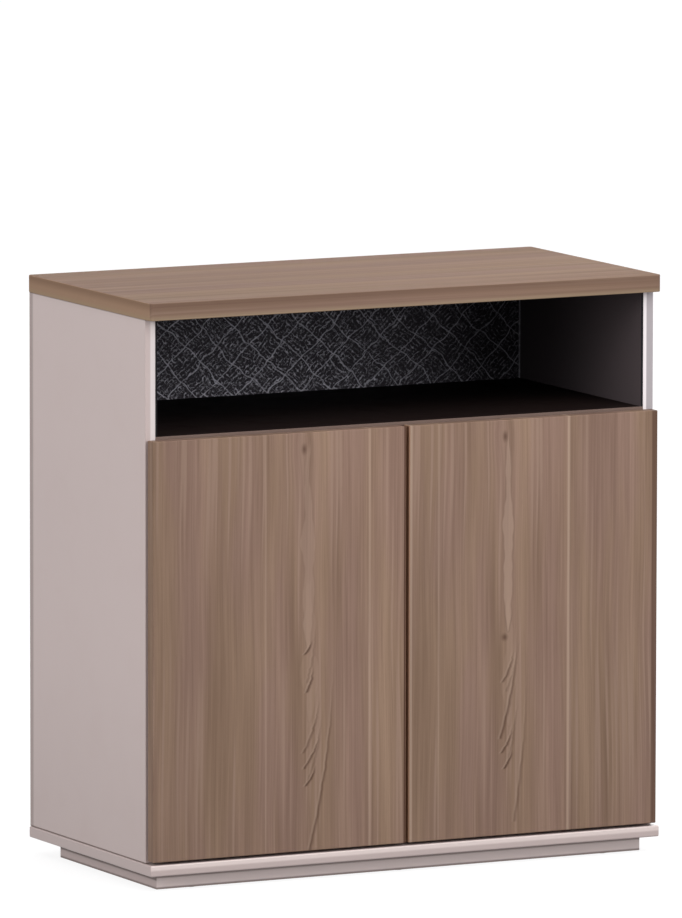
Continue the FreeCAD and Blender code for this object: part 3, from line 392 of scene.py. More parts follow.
class Finish(Sheet):
    """A material's sheet, with its shader's sockets and the place on the object."""

    def __init__(self, name, **constants):
        self.material = bpy.data.materials.new(name)
        self.material.use_nodes = True
        super().__init__(self.material.node_tree)
        self.tree.nodes.clear()
        shader = self.node("BsdfPrincipled")
        self.node("OutputMaterial", {"Surface": shader.outputs["BSDF"]})
        self.shader = shader.inputs
        self.feed_all(self.shader, **constants)
        self.spot = Value(self, self.node("TexCoord").outputs["Object"])
        self.x, self.y, self.z = self.split(self.spot)

    def cover(self, made, depth, raised=None):
        """Take the roughness and the height from an effect, with a pattern raised on it."""
        height = made["Height"] if raised is None else raised + made["Height"]
        self.feed(self.shader["Roughness"], made["Roughness"])
        lumps = self.node("Bump", {"Height": height, "Distance": depth, "Strength": 1.0})
        self.feed(self.shader["Normal"], lumps.outputs["Normal"])
        return made["Color"]

    def emboss(self, depth=LAMINATE_BUMP, raised=None, **inputs):
        """The even skin of laminate or plastic; it gives the colour back."""
        return self.cover(self.effect("fine_emboss", Vector=self.spot, **inputs), depth, raised)

    def woodgrain(self, across, along, seed, run=1.0, contrast=1.0):
        """The skin of woodgrain laminate; it gives the colour back."""
        colours, sizes = settings().colours, settings().sizes
        grain = self.effect("woodgrain", Across=across, Along=along, Seed=seed,
                            Light=colours.wood_light, Dark=colours.wood_dark,
                            Streak_Width=sizes.streak_width, Pore_Width=sizes.pore_width,
                            Run=run, Contrast=contrast)
        return self.cover(grain, WOOD_BUMP)

    def done(self, tone):
        """Set the colour and hand the material over."""
        self.feed(self.shader["Base Color"], tone)
        return self.material


# ---------------------------------------------------------------- effects
def new_group(name, outputs, **inputs):
    """An empty shader group: its sheet, its inputs as values and its output sockets.

    An input's default says its kind: a number, a colour as a tuple, or a Vector.
    """
    kinds = {float: "Float", tuple: "Color", Vector: "Vector"}
    tree = bpy.data.node_groups.new(name, "ShaderNodeTree")
    for label, value in inputs.items():
        kind = kinds[type(value)]
        socket = tree.interface.new_socket(label.replace("_", " "), in_out="INPUT",
                                           socket_type="NodeSocket" + kind)
        socket.default_value = (*value, 1.0) if kind == "Color" else value
    for label in outputs:
        kind = "Color" if label == "Color" else "Float"
        tree.interface.new_socket(label, in_out="OUTPUT", socket_type="NodeSocket" + kind)
    sheet = Sheet(tree)
    given = sheet.values(tree.nodes.new("NodeGroupInput").outputs)
    return sheet, given, tree.nodes.new("NodeGroupOutput").inputs


def woodgrain_group():
    """Straight grain: broad bands, streaks and fine pores that run along the board."""
    sheet, given, result = new_group(
        "woodgrain", ("Color", "Height", "Roughness"), Across=0.0, Along=0.0, Seed=0.0,
        Light=(0.3, 0.2, 0.15), Dark=(0.2, 0.13, 0.09), Streak_Width=0.009, Pore_Width=0.0011,
        Run=1.0, Contrast=1.0)
    across, seed = given["Across"], given["Seed"]
    streak, pore = given["Streak Width"], given["Pore Width"]
    along = given["Along"] / given["Run"]
    wander, patch_width, patch_run, pore_run = 0.016, 0.05, 0.40, 0.013
    bent = across + (sheet.noise(sheet.vector(across, along, seed), 2.4, 1.0) - 0.5) * wander

    def streaks(width, run, detail, offset):
        """Noise drawn out along the board, with a seed of its own."""
        spot = sheet.vector(bent / width, along / run, seed + offset)
        return sheet.noise(spot, 1.0, detail, 0.55)

    bands = streaks(streak * 5.0, 0.55, 1.0, 3.1)
    middle = streaks(streak, 0.35, 2.0, 7.7)
    narrow = streaks(streak * 0.45, 0.25, 1.0, 19.9)
    fine = streaks(pore, 0.12, 2.0, 11.3)
    veins = sheet.above(streaks(streak * 0.6, 0.4, 0.0, 31.0), 0.58, 0.76, 0.70)
    tone = bands * 0.30 + middle * 0.26 + narrow * 0.24 + fine * 0.20
    spread = sheet.clamp((tone - 0.5) * given["Contrast"] * 3.3 + 0.5)
    pores = sheet.vector(bent / pore, along / pore_run, seed)
    pores = sheet.ramp(sheet.noise(pores, 0.8, 1.0), 0.60, 0.72)
    patches = sheet.vector(bent / patch_width, along / patch_run, seed)
    patches = sheet.ramp(sheet.noise(patches, 1.0, 2.0), 0.35, 0.65)
    tint = sheet.mix(patches, (1.0, 0.965, 0.985), (1.02, 1.01, 0.93))
    base = sheet.mix(spread, given["Dark"], given["Light"])
    base = sheet.mix(1.0, base, tint, "MULTIPLY")
    base = sheet.mix(veins, base, given["Light"])
    base = sheet.mix(pores * 0.10, base, given["Dark"])
    gloss = sheet.ramp(middle, 0.3, 0.7, 0.52, 0.60)
    sheet.feed_all(result, Color=base, Height=fine - pores * 0.7, Roughness=gloss + pores * 0.10)
    return sheet.tree


def figure_group():
    """Shapes of the cathedral figure: one line, one knot and the pale tongue on the axis.

    Across is measured from the line's or knot's own place, and along from its lower end.
    """
    sheet, given, result = new_group(
        "cathedral_figure", ("Line", "Glow", "Knot", "Tongue", "Outline"), Across=0.0,
        Along=0.0, Width=0.016, Height=0.036, Stroke=0.0016, Seed=0.0)
    across, along, width, height = (given[name] for name in ("Across", "Along", "Width", "Height"))
    share = along / height

    def waver(scale, offset):
        """Noise from -0.5 to 0.5 along the figure, with a seed of its own."""
        return sheet.noise(sheet.vector(given["Seed"], along, offset), scale, 1.0) - 0.5

    left = 1.0 - share
    kink_reach = sheet.ramp(height, 0.06, 0.20, 0.005, 0.0010)
    middle = (1.0 - left * left) * width + waver(45.0, 0.0) * 0.004
    aside = across - (middle + waver(130.0, 12.0) * kink_reach)
    thick = given["Stroke"] * sheet.ramp(share, 0.0, 1.0, 1.0, 0.5)
    line = sheet.clamp(1.0 - abs(aside) / thick)
    glow = sheet.above(aside, -0.0060, -0.0022) * sheet.below(aside, -0.0022, -0.0006)
    ends = sheet.above(along, 0.0, 0.003) * sheet.below(share, 0.35, 1.0)

    beside = across / width
    knot = sheet.below(sheet.math("SQRT", beside * beside + share * share), 0.0, 1.0)

    centre = (waver(14.0, 4.0) + 0.5) * (width * 1.2)
    half = sheet.math("SQRT", sheet.clamp(along * 14.0)) * width
    half = half * sheet.ramp(share, 0.55, 1.0, 1.0, 0.35)
    half = half * sheet.ramp(waver(22.0, 8.0), -0.2, 0.2, 0.65, 1.15)
    rim = abs(across - centre) - half
    within = sheet.above(along, -0.001, 0.001) * sheet.below(share, 0.97, 1.05)
    outline = sheet.below(abs(rim), 0.0, given["Stroke"]) * sheet.ramp(along, 0.0, 0.05, 1.0, 0.5)
    sheet.feed_all(result, Line=line * ends, Glow=glow * ends, Knot=knot,
                   Tongue=within * sheet.below(rim, -0.003, 0.001), Outline=within * outline)
    return sheet.tree


def emboss_group():
    """Fine even texture of plain laminate and moulded plastic, with faint handling marks."""
    sheet, given, result = new_group(
        "fine_emboss", ("Color", "Height", "Roughness"), Vector=Vector(), Grain=0.0012,
        Base=(0.5, 0.5, 0.5), Mottle=0.04, Gloss=0.42)
    spot = given["Vector"]
    fine = sheet.noise(spot, 1.0 / given["Grain"], 2.0)
    cloud = sheet.noise(spot, 6.0, 3.0)
    marks = sheet.ramp(sheet.noise(spot, 19.0, 4.0, 0.6, 0.4), 0.45, 0.75)
    shade = 1.0 + (cloud - 0.5) * given["Mottle"] + (fine - 0.5) * 0.05
    sheet.feed_all(result, Color=sheet.scale(given["Base"], shade), Height=fine,
                   Roughness=given["Gloss"] + marks * 0.07)
    return sheet.tree


def brushed_group():
    """Drawn sheet metal: fine scratches along one direction and soft stains."""
    sheet, given, result = new_group(
        "drawn_metal", ("Color", "Height", "Roughness"), Vector=Vector(), Base=(0.6, 0.6, 0.6),
        Gloss=0.28)
    drawn = sheet.node("Mapping", {"Vector": given["Vector"], "Scale": (900.0, 900.0, 40.0)})
    stain = sheet.noise(given["Vector"], 60.0, 3.0)
    shade = sheet.ramp(stain, 0.2, 0.8, 0.90, 1.05)
    sheet.feed_all(result, Color=sheet.scale(given["Base"], shade),
                   Height=sheet.noise(drawn.outputs[0], 1.0, 3.0),
                   Roughness=given["Gloss"] + stain * 0.14)
    return sheet.tree


def lattice_group():
    """Printed net of rounded diamonds with a fine hatch and specks inside the diamonds."""
    sheet, given, result = new_group(
        "line_lattice", ("Lines", "Hatch"), Across=0.0, Up=0.0, Cell_Width=0.066,
        Cell_Height=0.06, Line=0.0024)
    spot = sheet.vector(given["Across"], given["Up"])
    sway_across, sway_up = 0.030, 0.022
    sway = sheet.split(sheet.noise(spot, 17.0, 4.0, output="Color"))
    wide = (given["Across"] + (sway[0] - 0.5) * sway_across) / given["Cell Width"]
    tall = (given["Up"] + (sway[1] - 0.5) * sway_up) / given["Cell Height"]

    def family(wide, sign, repeat, width, bow=0.0):
        """Slanted lines, some to each diamond, that may bow; the sign gives the slant."""
        run = tall * sign + wide
        if bow:
            run += sheet.math("SINE", (tall * -sign + wide) * (2 * math.pi)) * bow
        return sheet.below(abs(sheet.math("FRACT", run * repeat) - 0.5), 0.0, width)

    half = given["Line"] / given["Cell Width"]
    main = sheet.most(family(wide, 1.0, 1.0, half, 0.025), family(wide, -1.0, 1.0, half, -0.025))
    inner = sheet.most(family(wide, 1.0, 2.0, half), family(wide, -1.0, 2.0, half))
    inner = inner * sheet.above(sheet.noise(spot, 24.0, 2.0), 0.40, 0.62, 0.42)
    breaks = sheet.ramp(sheet.noise(spot, 70.0, 2.0), 0.30, 0.58, 0.45, 1.0)
    ragged = sheet.noise(spot, 110.0, 2.0)
    fray = wide + ragged * 0.22
    patches = sheet.ramp(sheet.noise(spot, 30.0, 2.0), 0.46, 0.58)
    hatch = sheet.most(family(fray, 1.0, 6.0, 0.20) * patches,
                       family(fray, -1.0, 6.0, 0.20) * (1.0 - patches))
    hatch = hatch * sheet.ramp(ragged, 0.42, 0.66, 0.08, 0.9)
    speck = sheet.ramp(sheet.noise(spot, 300.0, 1.0), 0.55, 0.72)
    sheet.feed_all(result, Lines=sheet.most(main, inner) * breaks, Hatch=hatch + speck * 0.5)
    return sheet.tree


GROUP_MAKERS = {
    "woodgrain": woodgrain_group,
    "cathedral_figure": figure_group,
    "fine_emboss": emboss_group,
    "drawn_metal": brushed_group,
    "line_lattice": lattice_group,
}


# ---------------------------------------------------------------- materials
def worktop_material():
    """Woodgrain that runs from end to end, with pale end bands, painted shade at the top of the front
    edge and a painted highlight along its lower arris.
    """
    sheet = Finish("worktop_woodgrain", IOR=1.04)
    colours = settings().colours
    x, z = sheet.x, sheet.z
    end, rim = cabinet_box[1][0], cabinet_box[1][2]
    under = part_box("worktop")[0][2]
    tone = sheet.woodgrain(sheet.y + z, x, 4.0, 2.2, 0.75)
    tone = sheet.scale(tone, sheet.ramp(x, -end, 0.5 * end, 0.89, 1.0))
    tone = sheet.mix(sheet.beside_high(abs(x), end, FRONT_EDGE, 0.9), tone, colours.top_end)
    # Painted shade: the upper part of the front edge is painted darker.
    upright = sheet.below(z, rim - 0.0012, rim - 0.0004)
    upper = upright * sheet.beside_high(z, rim, WORKTOP_UPPER_SHADE, 0.30)
    tone = sheet.mix(upper, tone, colours.wood_line)
    # Painted highlight: a pale band painted along the lower arris of the edge.
    lower = sheet.beside_low(z, under, WORKTOP_LOWER_GLOW, 0.45)
    return sheet.done(sheet.mix(lower, tone, colours.painted_edge_highlight))


def door_material(side, axis, seed, drift, streaks, strokes, tongues, knots):
    """Door laminate with the cathedral figure beside its axis, as DOORS describes it."""
    sheet = Finish("door_woodgrain_" + side, IOR=1.2)
    colours, sizes = settings().colours, settings().sizes
    x, z = sheet.x, sheet.z
    low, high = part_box("door_" + side)
    door_face, bend_width, bend_height, bend = -0.2, 0.016, 0.040, 0.7
    grain_line = x + sheet.y - (axis + door_face)
    dx, dz = grain_line / bend_width, (z - knots[0][0]) / bend_height
    near = sheet.math("EXPONENT", (dx * dx + dz * dz) * -1.0)
    tone = sheet.woodgrain(grain_line - grain_line * near * bend, z, 9.0)

    def figure(foot, width, height, stroke, number, start=0.0):
        return sheet.effect("cathedral_figure", Across=x - axis - start, Along=z - foot,
                            Seed=seed + number, Width=width, Height=height, Stroke=stroke)

    for count, (foot, width, height, share) in enumerate(tongues):
        shape = figure(foot, width, height, 0.0022, 20.0 + count)
        tone = sheet.mix(shape["Tongue"] * share, tone, colours.wood_streak)
        tone = sheet.mix(shape["Outline"] * (1.6 * share), tone, colours.wood_dark)
    for place, width, share in streaks:
        streak = sheet.below(abs(x - place), 0.1 * width, width, share)
        tone = sheet.mix(streak, tone, colours.wood_streak)
    first, last, step = drift
    shade = sheet.ramp(x, low[0], high[0], first, last, smooth=False)
    # Painted shade: the door is painted lighter towards its top and darker towards its foot.
    shade = shade * sheet.ramp(z, low[2], high[2], 0.98, 1.05, smooth=False)
    shade = shade * sheet.ramp(x, streaks[0][0] - 0.002, streaks[0][0] + 0.002, 1.0, step)
    tone = sheet.scale(tone, shade)
    marks = 0.0
    for height, half_width, half_height, share in knots:
        knot = figure(height, half_width, half_height, 0.001, 0.0)["Knot"]
        marks = sheet.most(knot * share, marks)
    for count, (foot, start, width, height, share) in enumerate(strokes):
        shape = figure(foot, width, height, sizes.figure_line, 1.0 + count, start)
        tone = sheet.mix(shape["Glow"] * (0.8 * share), tone, colours.wood_streak)
        marks = sheet.most(shape["Line"] * share, marks)
    tone = sheet.mix(marks, tone, colours.wood_line)
    inner, outer = sorted((abs(low[0]), abs(high[0])))
    across = abs(x)
    if side == "right":
        # Painted highlight: a pale line painted along the right door's inner front arris.
        arris = sheet.above(across, inner + 0.0012, inner + 0.0018)
        arris = arris * sheet.below(across, inner + 0.0035, inner + 0.0060, 0.7)
        tone = sheet.mix(arris, tone, colours.wood_streak)
        band = sheet.beside_high(across, outer, RIGHT_DOOR_RIM, 0.62)
    else:
        # Painted shade: a dark band painted on the left door's face beside the gap between the doors.
        band = sheet.beside_low(across, inner, LEFT_DOOR_GAP_SHADE, 0.95)
    tone = sheet.mix(band, tone, colours.wood_line)
    return sheet.done(sheet.mix(sheet.beside_low(across, inner, DOOR_GAP_EDGE), tone,
                                colours.door_edge))


def plain_material(name, tone, gloss=0.40, grain=0.0012, depth=LAMINATE_BUMP, mottle=0.04):
    """Plain laminate, raw wood or moulded plastic in one tone."""
    sheet = Finish(name)
    return sheet.done(sheet.emboss(depth, Grain=grain, Base=tone, Mottle=mottle, Gloss=gloss))


def panel_material(side, outer_tone, inner_tone, inner_width):
    """Plain laminate of a side panel, with a painted highlight and painted shade on its front edge,
    painted shade towards its foot and rear edge, and painted shadow lines in its joints.
    """
    sheet = Finish("panel_laminate_" + side)
    joint = settings().colours.joint
    low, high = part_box("side_panel_" + side)
    change = min(abs(low[0]), abs(high[0])) + inner_width
    front = sheet.beside_low(sheet.y, low[1], FRONT_EDGE)
    inner = sheet.below(abs(sheet.x), change - 0.001, change + 0.001)
    # Painted shade: darker along the rear edge and towards the foot of the panel.
    shade = sheet.most(sheet.beside_high(sheet.y, high[1], PANEL_REAR_SHADE, 0.48),
                       sheet.beside_low(sheet.z, low[2], PANEL_FOOT_SHADE, 0.11))
    tone = sheet.mix(shade, sheet.emboss(Base=settings().colours.plain), joint)
    # Painted highlight and shade: the front edge in two tones, its inner part pale as a highlight.
    tone = sheet.mix(front, tone, outer_tone)
    tone = sheet.mix(front * inner, tone, inner_tone)
    # Painted shadow lines in the joints with the base plate and the worktop.
    seam = sheet.most(sheet.beside_low(sheet.z, low[2], PANEL_FOOT_SEAM_SHADOW, 0.9),
                      sheet.beside_high(sheet.z, high[2], PANEL_HEAD_SEAM_SHADOW, 0.6))
    return sheet.done(sheet.mix(seam, tone, joint))


def plinth_material(name, tone, head_shadow, share):
    """Plain laminate of the plinth, with painted shadow along its foot and along its top under the base
    plate.
    """
    sheet = Finish(name)
    foot, head = (corner[2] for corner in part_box("plinth_front"))
    # Painted shadow: a contact shadow along the foot, and shade under the base plate along the top.
    painted_shadow = sheet.most(sheet.beside_low(sheet.z, foot, PLINTH_FOOT_SHADOW, 0.80),
                      sheet.beside_high(sheet.z, head, head_shadow, share))
    face = sheet.emboss(Base=tone, Gloss=0.45)
    return sheet.done(sheet.mix(painted_shadow, face, settings().colours.joint))


def base_material():
    """Plain laminate of the base plate, with a painted highlight along the upper part of its front edge.
    """
    sheet = Finish("base_laminate")
    colours = settings().colours
    low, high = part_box("base_plate")
    # Painted highlight: the upper part of the front edge is painted paler.
    band = sheet.beside_low(sheet.y, low[1], BASE_FRONT_BAND)
    band = band * sheet.beside_high(sheet.z, high[2], BASE_UPPER_BAND)
    return sheet.done(sheet.mix(band, sheet.emboss(Base=colours.base), colours.painted_base_edge_highlight))


def liner_material(name, tone, deep_tone, refraction, share):
    """Dark laminate of the niche, darker on the front edges, with painted shade towards the back."""
    sheet = Finish(name, IOR=refraction)
    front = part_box("niche_liner_left")[0][1]
    # Painted shade: the lining is painted darker towards the back of the niche.
    shade = sheet.most(sheet.beside_low(sheet.y, front, FRONT_EDGE),
                       sheet.above(sheet.y, front + 0.03, front + 0.30, share))
    return sheet.done(sheet.mix(shade, sheet.emboss(Base=tone, Gloss=0.45), deep_tone))


def lattice_material():
    """Dark board with the pale printed lattice and a corner seam, with painted shade that darkens
    ground, hatch and lines from left to right.
    """
    sheet = Finish("lattice_board", IOR=1.1)
    colours, sizes = settings().colours, settings().sizes
    x = sheet.x
    low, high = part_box("niche_back_panel")
    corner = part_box("niche_liner_right")[0][0]
    net = sheet.effect("line_lattice", Across=x, Up=sheet.z, Cell_Width=sizes.lattice_width,
                       Cell_Height=sizes.lattice_height, Line=sizes.lattice_line)
    rear = sheet.beside_high(sheet.y, high[1], LATTICE_BACK)
    ground = sheet.emboss(LATTICE_BUMP, net["Lines"] * (1.0 - rear),
                          Base=colours.lattice_ground, Gloss=0.5)
    # Painted shade: the ground is painted darker and the hatch fainter towards the right, as the light
    # falls off inside the niche.
    ground = sheet.mix(sheet.above(x, 0.20, high[0], 0.6), ground, BLACK)
    painted_light_falloff = sheet.ramp(x, low[0], 0.0, 0.51, 0.80) * sheet.ramp(x, 0.05, high[0], 1.0, 0.42)
    tone = sheet.mix(net["Hatch"] * painted_light_falloff, ground, colours.lattice_line)
    # Painted shade: the lines are painted fainter towards the right.
    lines = sheet.most(net["Lines"] * sheet.ramp(x, 0.0, high[0], 0.66, 0.40),
                       sheet.beside_high(x, corner, LATTICE_CORNER_SEAM, 0.30))
    tone = sheet.mix(lines, tone, colours.lattice_line)
    return sheet.done(sheet.mix(rear, tone, colours.back_board))


def metal_material(name, tone, gloss):
    """Drawn or plated metal in one tone."""
    sheet = Finish(name, Metallic=1.0)
    metal = sheet.effect("drawn_metal", Vector=sheet.spot, Base=tone, Gloss=gloss)
    return sheet.done(sheet.cover(metal, FINE_BUMP))


def dress(material, *names):
    """Give whole CAD nodes one material."""
    for name in names:
        mesh = nodes[name].data
        mesh.materials.clear()
        mesh.materials.append(material)


def on_both_sides(*names):
    return [name + "_" + side for name in names for side in SIDES]


# ---------------------------------------------------------------- shapes
SHARP_EDGE = math.radians(35)
SAME_PLACE = 1e-7
SAME_POINT = 1e-6
SAME_LEVEL = 1e-5


def new_mesh(name, shape):
    """The mesh of a finished shape."""
    mesh = bpy.data.meshes.new(name)
    shape.to_mesh(mesh)
    shape.free()
    return mesh


def new_object(name, data):
    """An object at the origin of the scene."""
    made = bpy.data.objects.new(name, data)
    bpy.context.scene.collection.objects.link(made)
    return made


def new_piece(name, shape, body, slot, material, *replaced):
    """Make an object of a finished shape, with soft shading between its sharp edges."""
    for face in shape.faces:
        face.smooth = True
    for edge in shape.edges:
        edge.smooth = edge.is_manifold and edge.calc_face_angle(0.0) < SHARP_EDGE
    mesh = new_mesh(name, shape)
    mesh.materials.append(material)
    piece = new_object(name, mesh)
    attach(piece, body)
    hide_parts(*replaced)


def loose_parts(name):
    """The separate solids of a CAD node, each as the list of its points."""
    shape = bmesh.new()
    shape.from_mesh(nodes[name].data)
    bmesh.ops.remove_doubles(shape, verts=shape.verts, dist=SAME_POINT)
    shape.verts.ensure_lookup_table()
    seen, parts = set(), []
    for start in shape.verts:
        if start in seen:
            continue
        seen.add(start)
        waiting, points = [start], []
        while waiting:
            vert = waiting.pop()
            points.append(vert.co.copy())
            for edge in vert.link_edges:
                other = edge.other_vert(vert)
                if other not in seen:
                    seen.add(other)
                    waiting.append(other)
        parts.append(points)
    shape.free()
    return parts


def screw_form(points):
    """A screw's tip, direction, length, shank radius, head radius and height, and if raised."""
    low = Vector([min(point[i] for point in points) for i in range(3)])
    high = Vector([max(point[i] for point in points) for i in range(3)])
    size = high - low
    axis = max(range(3), key=lambda i: size[i])
    centre = (low + high) / 2
    on_rim, past_shank, tip_part = 0.98, 1.1, 0.3

    def radius(point):
        flat = point - centre
        flat[axis] = 0.0
        return flat.length

    head = max(radius(point) for point in points)
    rim = [point for point in points if radius(point) > on_rim * head]
    sign = 1 if sum(point[axis] for point in rim) / len(rim) > centre[axis] else -1
    way = Vector([sign * (i == axis) for i in range(3)])
    tip = centre - way * size[axis] / 2

    def depth(point):
        return (point - tip).dot(way)

    shank = max(radius(point) for point in points if depth(point) < tip_part * size[axis])
    under = min(depth(point) for point in points if radius(point) > past_shank * shank)
    raised = min(depth(point) for point in rim) < under + SAME_LEVEL
    if not raised:
        under = max(depth(point) for point in points if radius(point) < past_shank * shank
                    and depth(point) < size[axis] - SAME_LEVEL)
    return tip, way, size[axis], shank, head, size[axis] - under, raised


def on_level(item, level):
    return all(abs(vert.co.z - level) < SAME_PLACE for vert in item.verts)


def top_faces(shape, level, inside=None):
    """Faces that lie on a level, and whose middle passes a test."""
    found = []
    for face in shape.faces:
        middle = face.calc_center_median()
        if on_level(face, level) and (inside is None or inside(abs(middle.x), abs(middle.y))):
            found.append(face)
    return found


def cut_across(shape, faces, axis, reach):
    """Cut flat faces along two planes, a reach to either side of the middle."""
    normal = Vector([float(i == axis) for i in range(3)])
    for place in (-reach, reach):
        edges = [edge for face in faces for edge in face.edges]
        verts = [vert for face in faces for vert in face.verts]
        around = list(dict.fromkeys([*faces, *edges, *verts]))
        cut = bmesh.ops.bisect_plane(shape, geom=around, plane_co=normal * place,
                                     plane_no=normal, dist=SAME_PLACE)
        faces = [item for item in cut["geom"] if isinstance(item, bmesh.types.BMFace)]


def screw_shape(top, shank, head, height, raised):
    """A turned screw on +Z, tip at the origin, with a tapered cross recess in its head."""
    seat = top - height
    rows = [(0.0, 0.0), (0.45 * shank, 0.5 * shank), (shank, 1.6 * shank), (shank, seat)]
    if raised:
        rows += [(head, seat), (head, seat + 0.50 * height), (0.95 * head, seat + 0.70 * height),
                 (0.82 * head, seat + 0.90 * height), (0.66 * head, top)]
    else:
        rows += [(head, top - 0.15 * height), (0.95 * head, top)]
    shape = bmesh.new()
    verts = [shape.verts.new((across, 0.0, up)) for across, up in rows]
    edges = [shape.edges.new(pair) for pair in zip(verts, verts[1:])]
    bmesh.ops.spin(shape, geom=verts + edges, cent=(0, 0, 0), axis=(0, 0, 1),
                   angle=2 * math.pi, steps=24, use_merge=True)
    bmesh.ops.remove_doubles(shape, verts=shape.verts, dist=SAME_PLACE)
    bmesh.ops.edgeloop_fill(shape, edges=[edge for edge in shape.edges if on_level(edge, top)])
    arm, reach = 0.13 * head, (0.50 if raised else 0.60) * head
    taper, sink = 0.72, min(0.85 * height, 0.45 * head)
    for axis in range(2):
        cut_across(shape, top_faces(shape, top), axis, arm)
    cut_across(shape, top_faces(shape, top, lambda x, y: y < arm), 0, reach)
    cut_across(shape, top_faces(shape, top, lambda x, y: x < arm), 1, reach)
    cross = top_faces(shape, top, lambda x, y: min(x, y) < arm and max(x, y) < reach)
    sunk = bmesh.ops.extrude_face_region(shape, geom=cross)
    bmesh.ops.delete(shape, geom=[face for face in cross if face.is_valid], context="FACES")
    floor = [item for item in sunk["geom"] if isinstance(item, bmesh.types.BMVert)]
    bmesh.ops.scale(shape, vec=(taper, taper, 1.0), verts=floor)
    bmesh.ops.translate(shape, vec=(0, 0, -sink), verts=floor)
    bmesh.ops.recalc_face_normals(shape, faces=shape.faces)
    return shape


def turn_screws(node, body, slot, material):
    """Cross-recessed screws in the places of a CAD node's plain ones, as one piece."""
    step_angle = math.radians(37)
    whole = bmesh.new()
    for count, points in enumerate(loose_parts(node)):
        tip, way, *form = screw_form(points)
        single = screw_shape(*form)
        turned = Matrix.Rotation(step_angle * count, 4, "Z")
        stood = way.to_track_quat("Z", "Y").to_matrix().to_4x4()
        bmesh.ops.transform(single, matrix=Matrix.Translation(tip) @ stood @ turned,
                            verts=single.verts)
        mesh = new_mesh("one_screw", single)
        whole.from_mesh(mesh)
        bpy.data.meshes.remove(mesh)
    new_piece("turned_" + node, whole, body, slot, material, node)


# ---------------------------------------------------------------- pieces
class CREDENZA_OT_worktop(bpy.types.Operator):
    """Dress the worktop in woodgrain laminate that runs from end to end"""
    bl_idname = "credenza.worktop"
    bl_label = "Worktop"

    def execute(self, context):
        dress(worktop_material(), "worktop")
        return {"FINISHED"}


class CREDENZA_OT_doors(bpy.types.Operator):
    """Dress both doors in upright woodgrain laminate with a cathedral figure"""
    bl_idname = "credenza.doors"
    bl_label = "Doors"

    def execute(self, context):
        for side, figure in DOORS.items():
            dress(door_material(side, **figure), "door_" + side)
        return {"FINISHED"}


class CREDENZA_OT_carcass(bpy.types.Operator):
    """Dress the side panels, base plate, plinth, shelf and cupboard back in plain laminate"""
    bl_idname = "credenza.carcass"
    bl_label = "Carcass"

    def execute(self, context):
        colours = settings().colours
        dress(plain_material("shelf_laminate", colours.plain), "adjustable_shelf")
        dress(base_material(), "base_plate")
        # The side panels' front edges hold a painted highlight, and the right one painted shade too.
        dress(panel_material("left", colours.base, colours.painted_left_edge_highlight, 0.0080), "side_panel_left")
        dress(panel_material("right", colours.painted_panel_shade, colours.painted_panel_highlight, 0.0052),
              "side_panel_right")
        # The plinth's front and back rails are painted lighter and its side rails darker, as lit and
        # shaded copies of one laminate.
        dress(plinth_material("plinth_laminate", colours.plinth, PLINTH_HEAD_SHADOW, 0.75),
              "plinth_front", "plinth_back")
        dress(plinth_material("plinth_side_shaded_laminate", colours.plinth_side_shade, PLINTH_SIDE_SHADOW, 0.95),
              *on_both_sides("plinth"))
        dress(plain_material("thin_back_board", colours.back_board, 0.5), "cupboard_back_panel")
        dress(plain_material("sawn_softwood", srgb(196, 164, 122), 0.7, 0.002, SOFTWOOD_BUMP, 0.2),
              "plinth_corner_blocks")
        dress(plain_material("birch_dowel", srgb(210, 180, 140), 0.6, 0.001, DOWEL_BUMP, 0.1),
              "dowels")
        return {"FINISHED"}


class CREDENZA_OT_niche(bpy.types.Operator):
    """Dress the open niche: dark sides, ceiling and floor, and the lattice back"""
    bl_idname = "credenza.niche"
    bl_label = "Niche"

    def execute(self, context):
        colours = settings().colours
        dress(liner_material("dark_laminate", colours.dark, colours.niche_inside, 1.15, 0.70),
              "niche_ceiling", *on_both_sides("niche_liner"))
        dress(liner_material("niche_floor_laminate", colours.niche_floor, BLACK, 1.04, 0.88),
              "niche_floor")
        dress(plain_material("niche_edge_band", colours.niche_edge, 0.5), "niche_floor_edging")
        dress(lattice_material(), "niche_back_panel")
        return {"FINISHED"}


class CREDENZA_OT_fittings(bpy.types.Operator):
    """Dress the hinges, latches, fasteners, pads and glides"""
    bl_idname = "credenza.fittings"
    bl_label = "Fittings"

    def execute(self, context):
        nickel = metal_material("nickel_plated_steel", srgb(196, 193, 188), 0.22)
        dress(nickel, "hinge_plates", "hinge_arms", "hinge_arm_pins",
              *on_both_sides("hinge_cups", "hinge_cup_pins", "front_links", "rear_links"))
        zinc = metal_material("zinc_plated_steel", srgb(186, 188, 192), 0.30)
        fixed = ["hinge_plate_screws", "hinge_arm_screws", "back_panel_screws",
                 "plinth_block_screws", "latch_screws"]
        dress(zinc, *fixed, "cam_bolts", "shelf_supports",
              *on_both_sides("hinge_cup_screws", "strike_plate"))
        for node in fixed:
            turn_screws(node, "carcass", "screw_steel", zinc)
        for side in SIDES:
            turn_screws("hinge_cup_screws_" + side, side + "_door", "screw_steel", zinc)
        dress(metal_material("die_cast_zinc", srgb(170, 170, 172), 0.42), "cam_locks")
        dress(metal_material("magnet_plating", srgb(120, 120, 124), 0.35),
              *on_both_sides("latch_magnet"))
        plastics = (
            ("grey_plastic", (126, 127, 130), 0.45, ["latch_housings", *on_both_sides("latch_plunger")]),
            ("soft_pad", (205, 204, 198), 0.30, on_both_sides("door_bumpers")),
            ("glide_plastic", (222, 220, 214), 0.40, ["glides"]),
        )
        for name, tone, gloss, dressed in plastics:
            dress(plain_material(name, srgb(*tone), gloss, 0.0006, FINE_BUMP), *dressed)
        return {"FINISHED"}


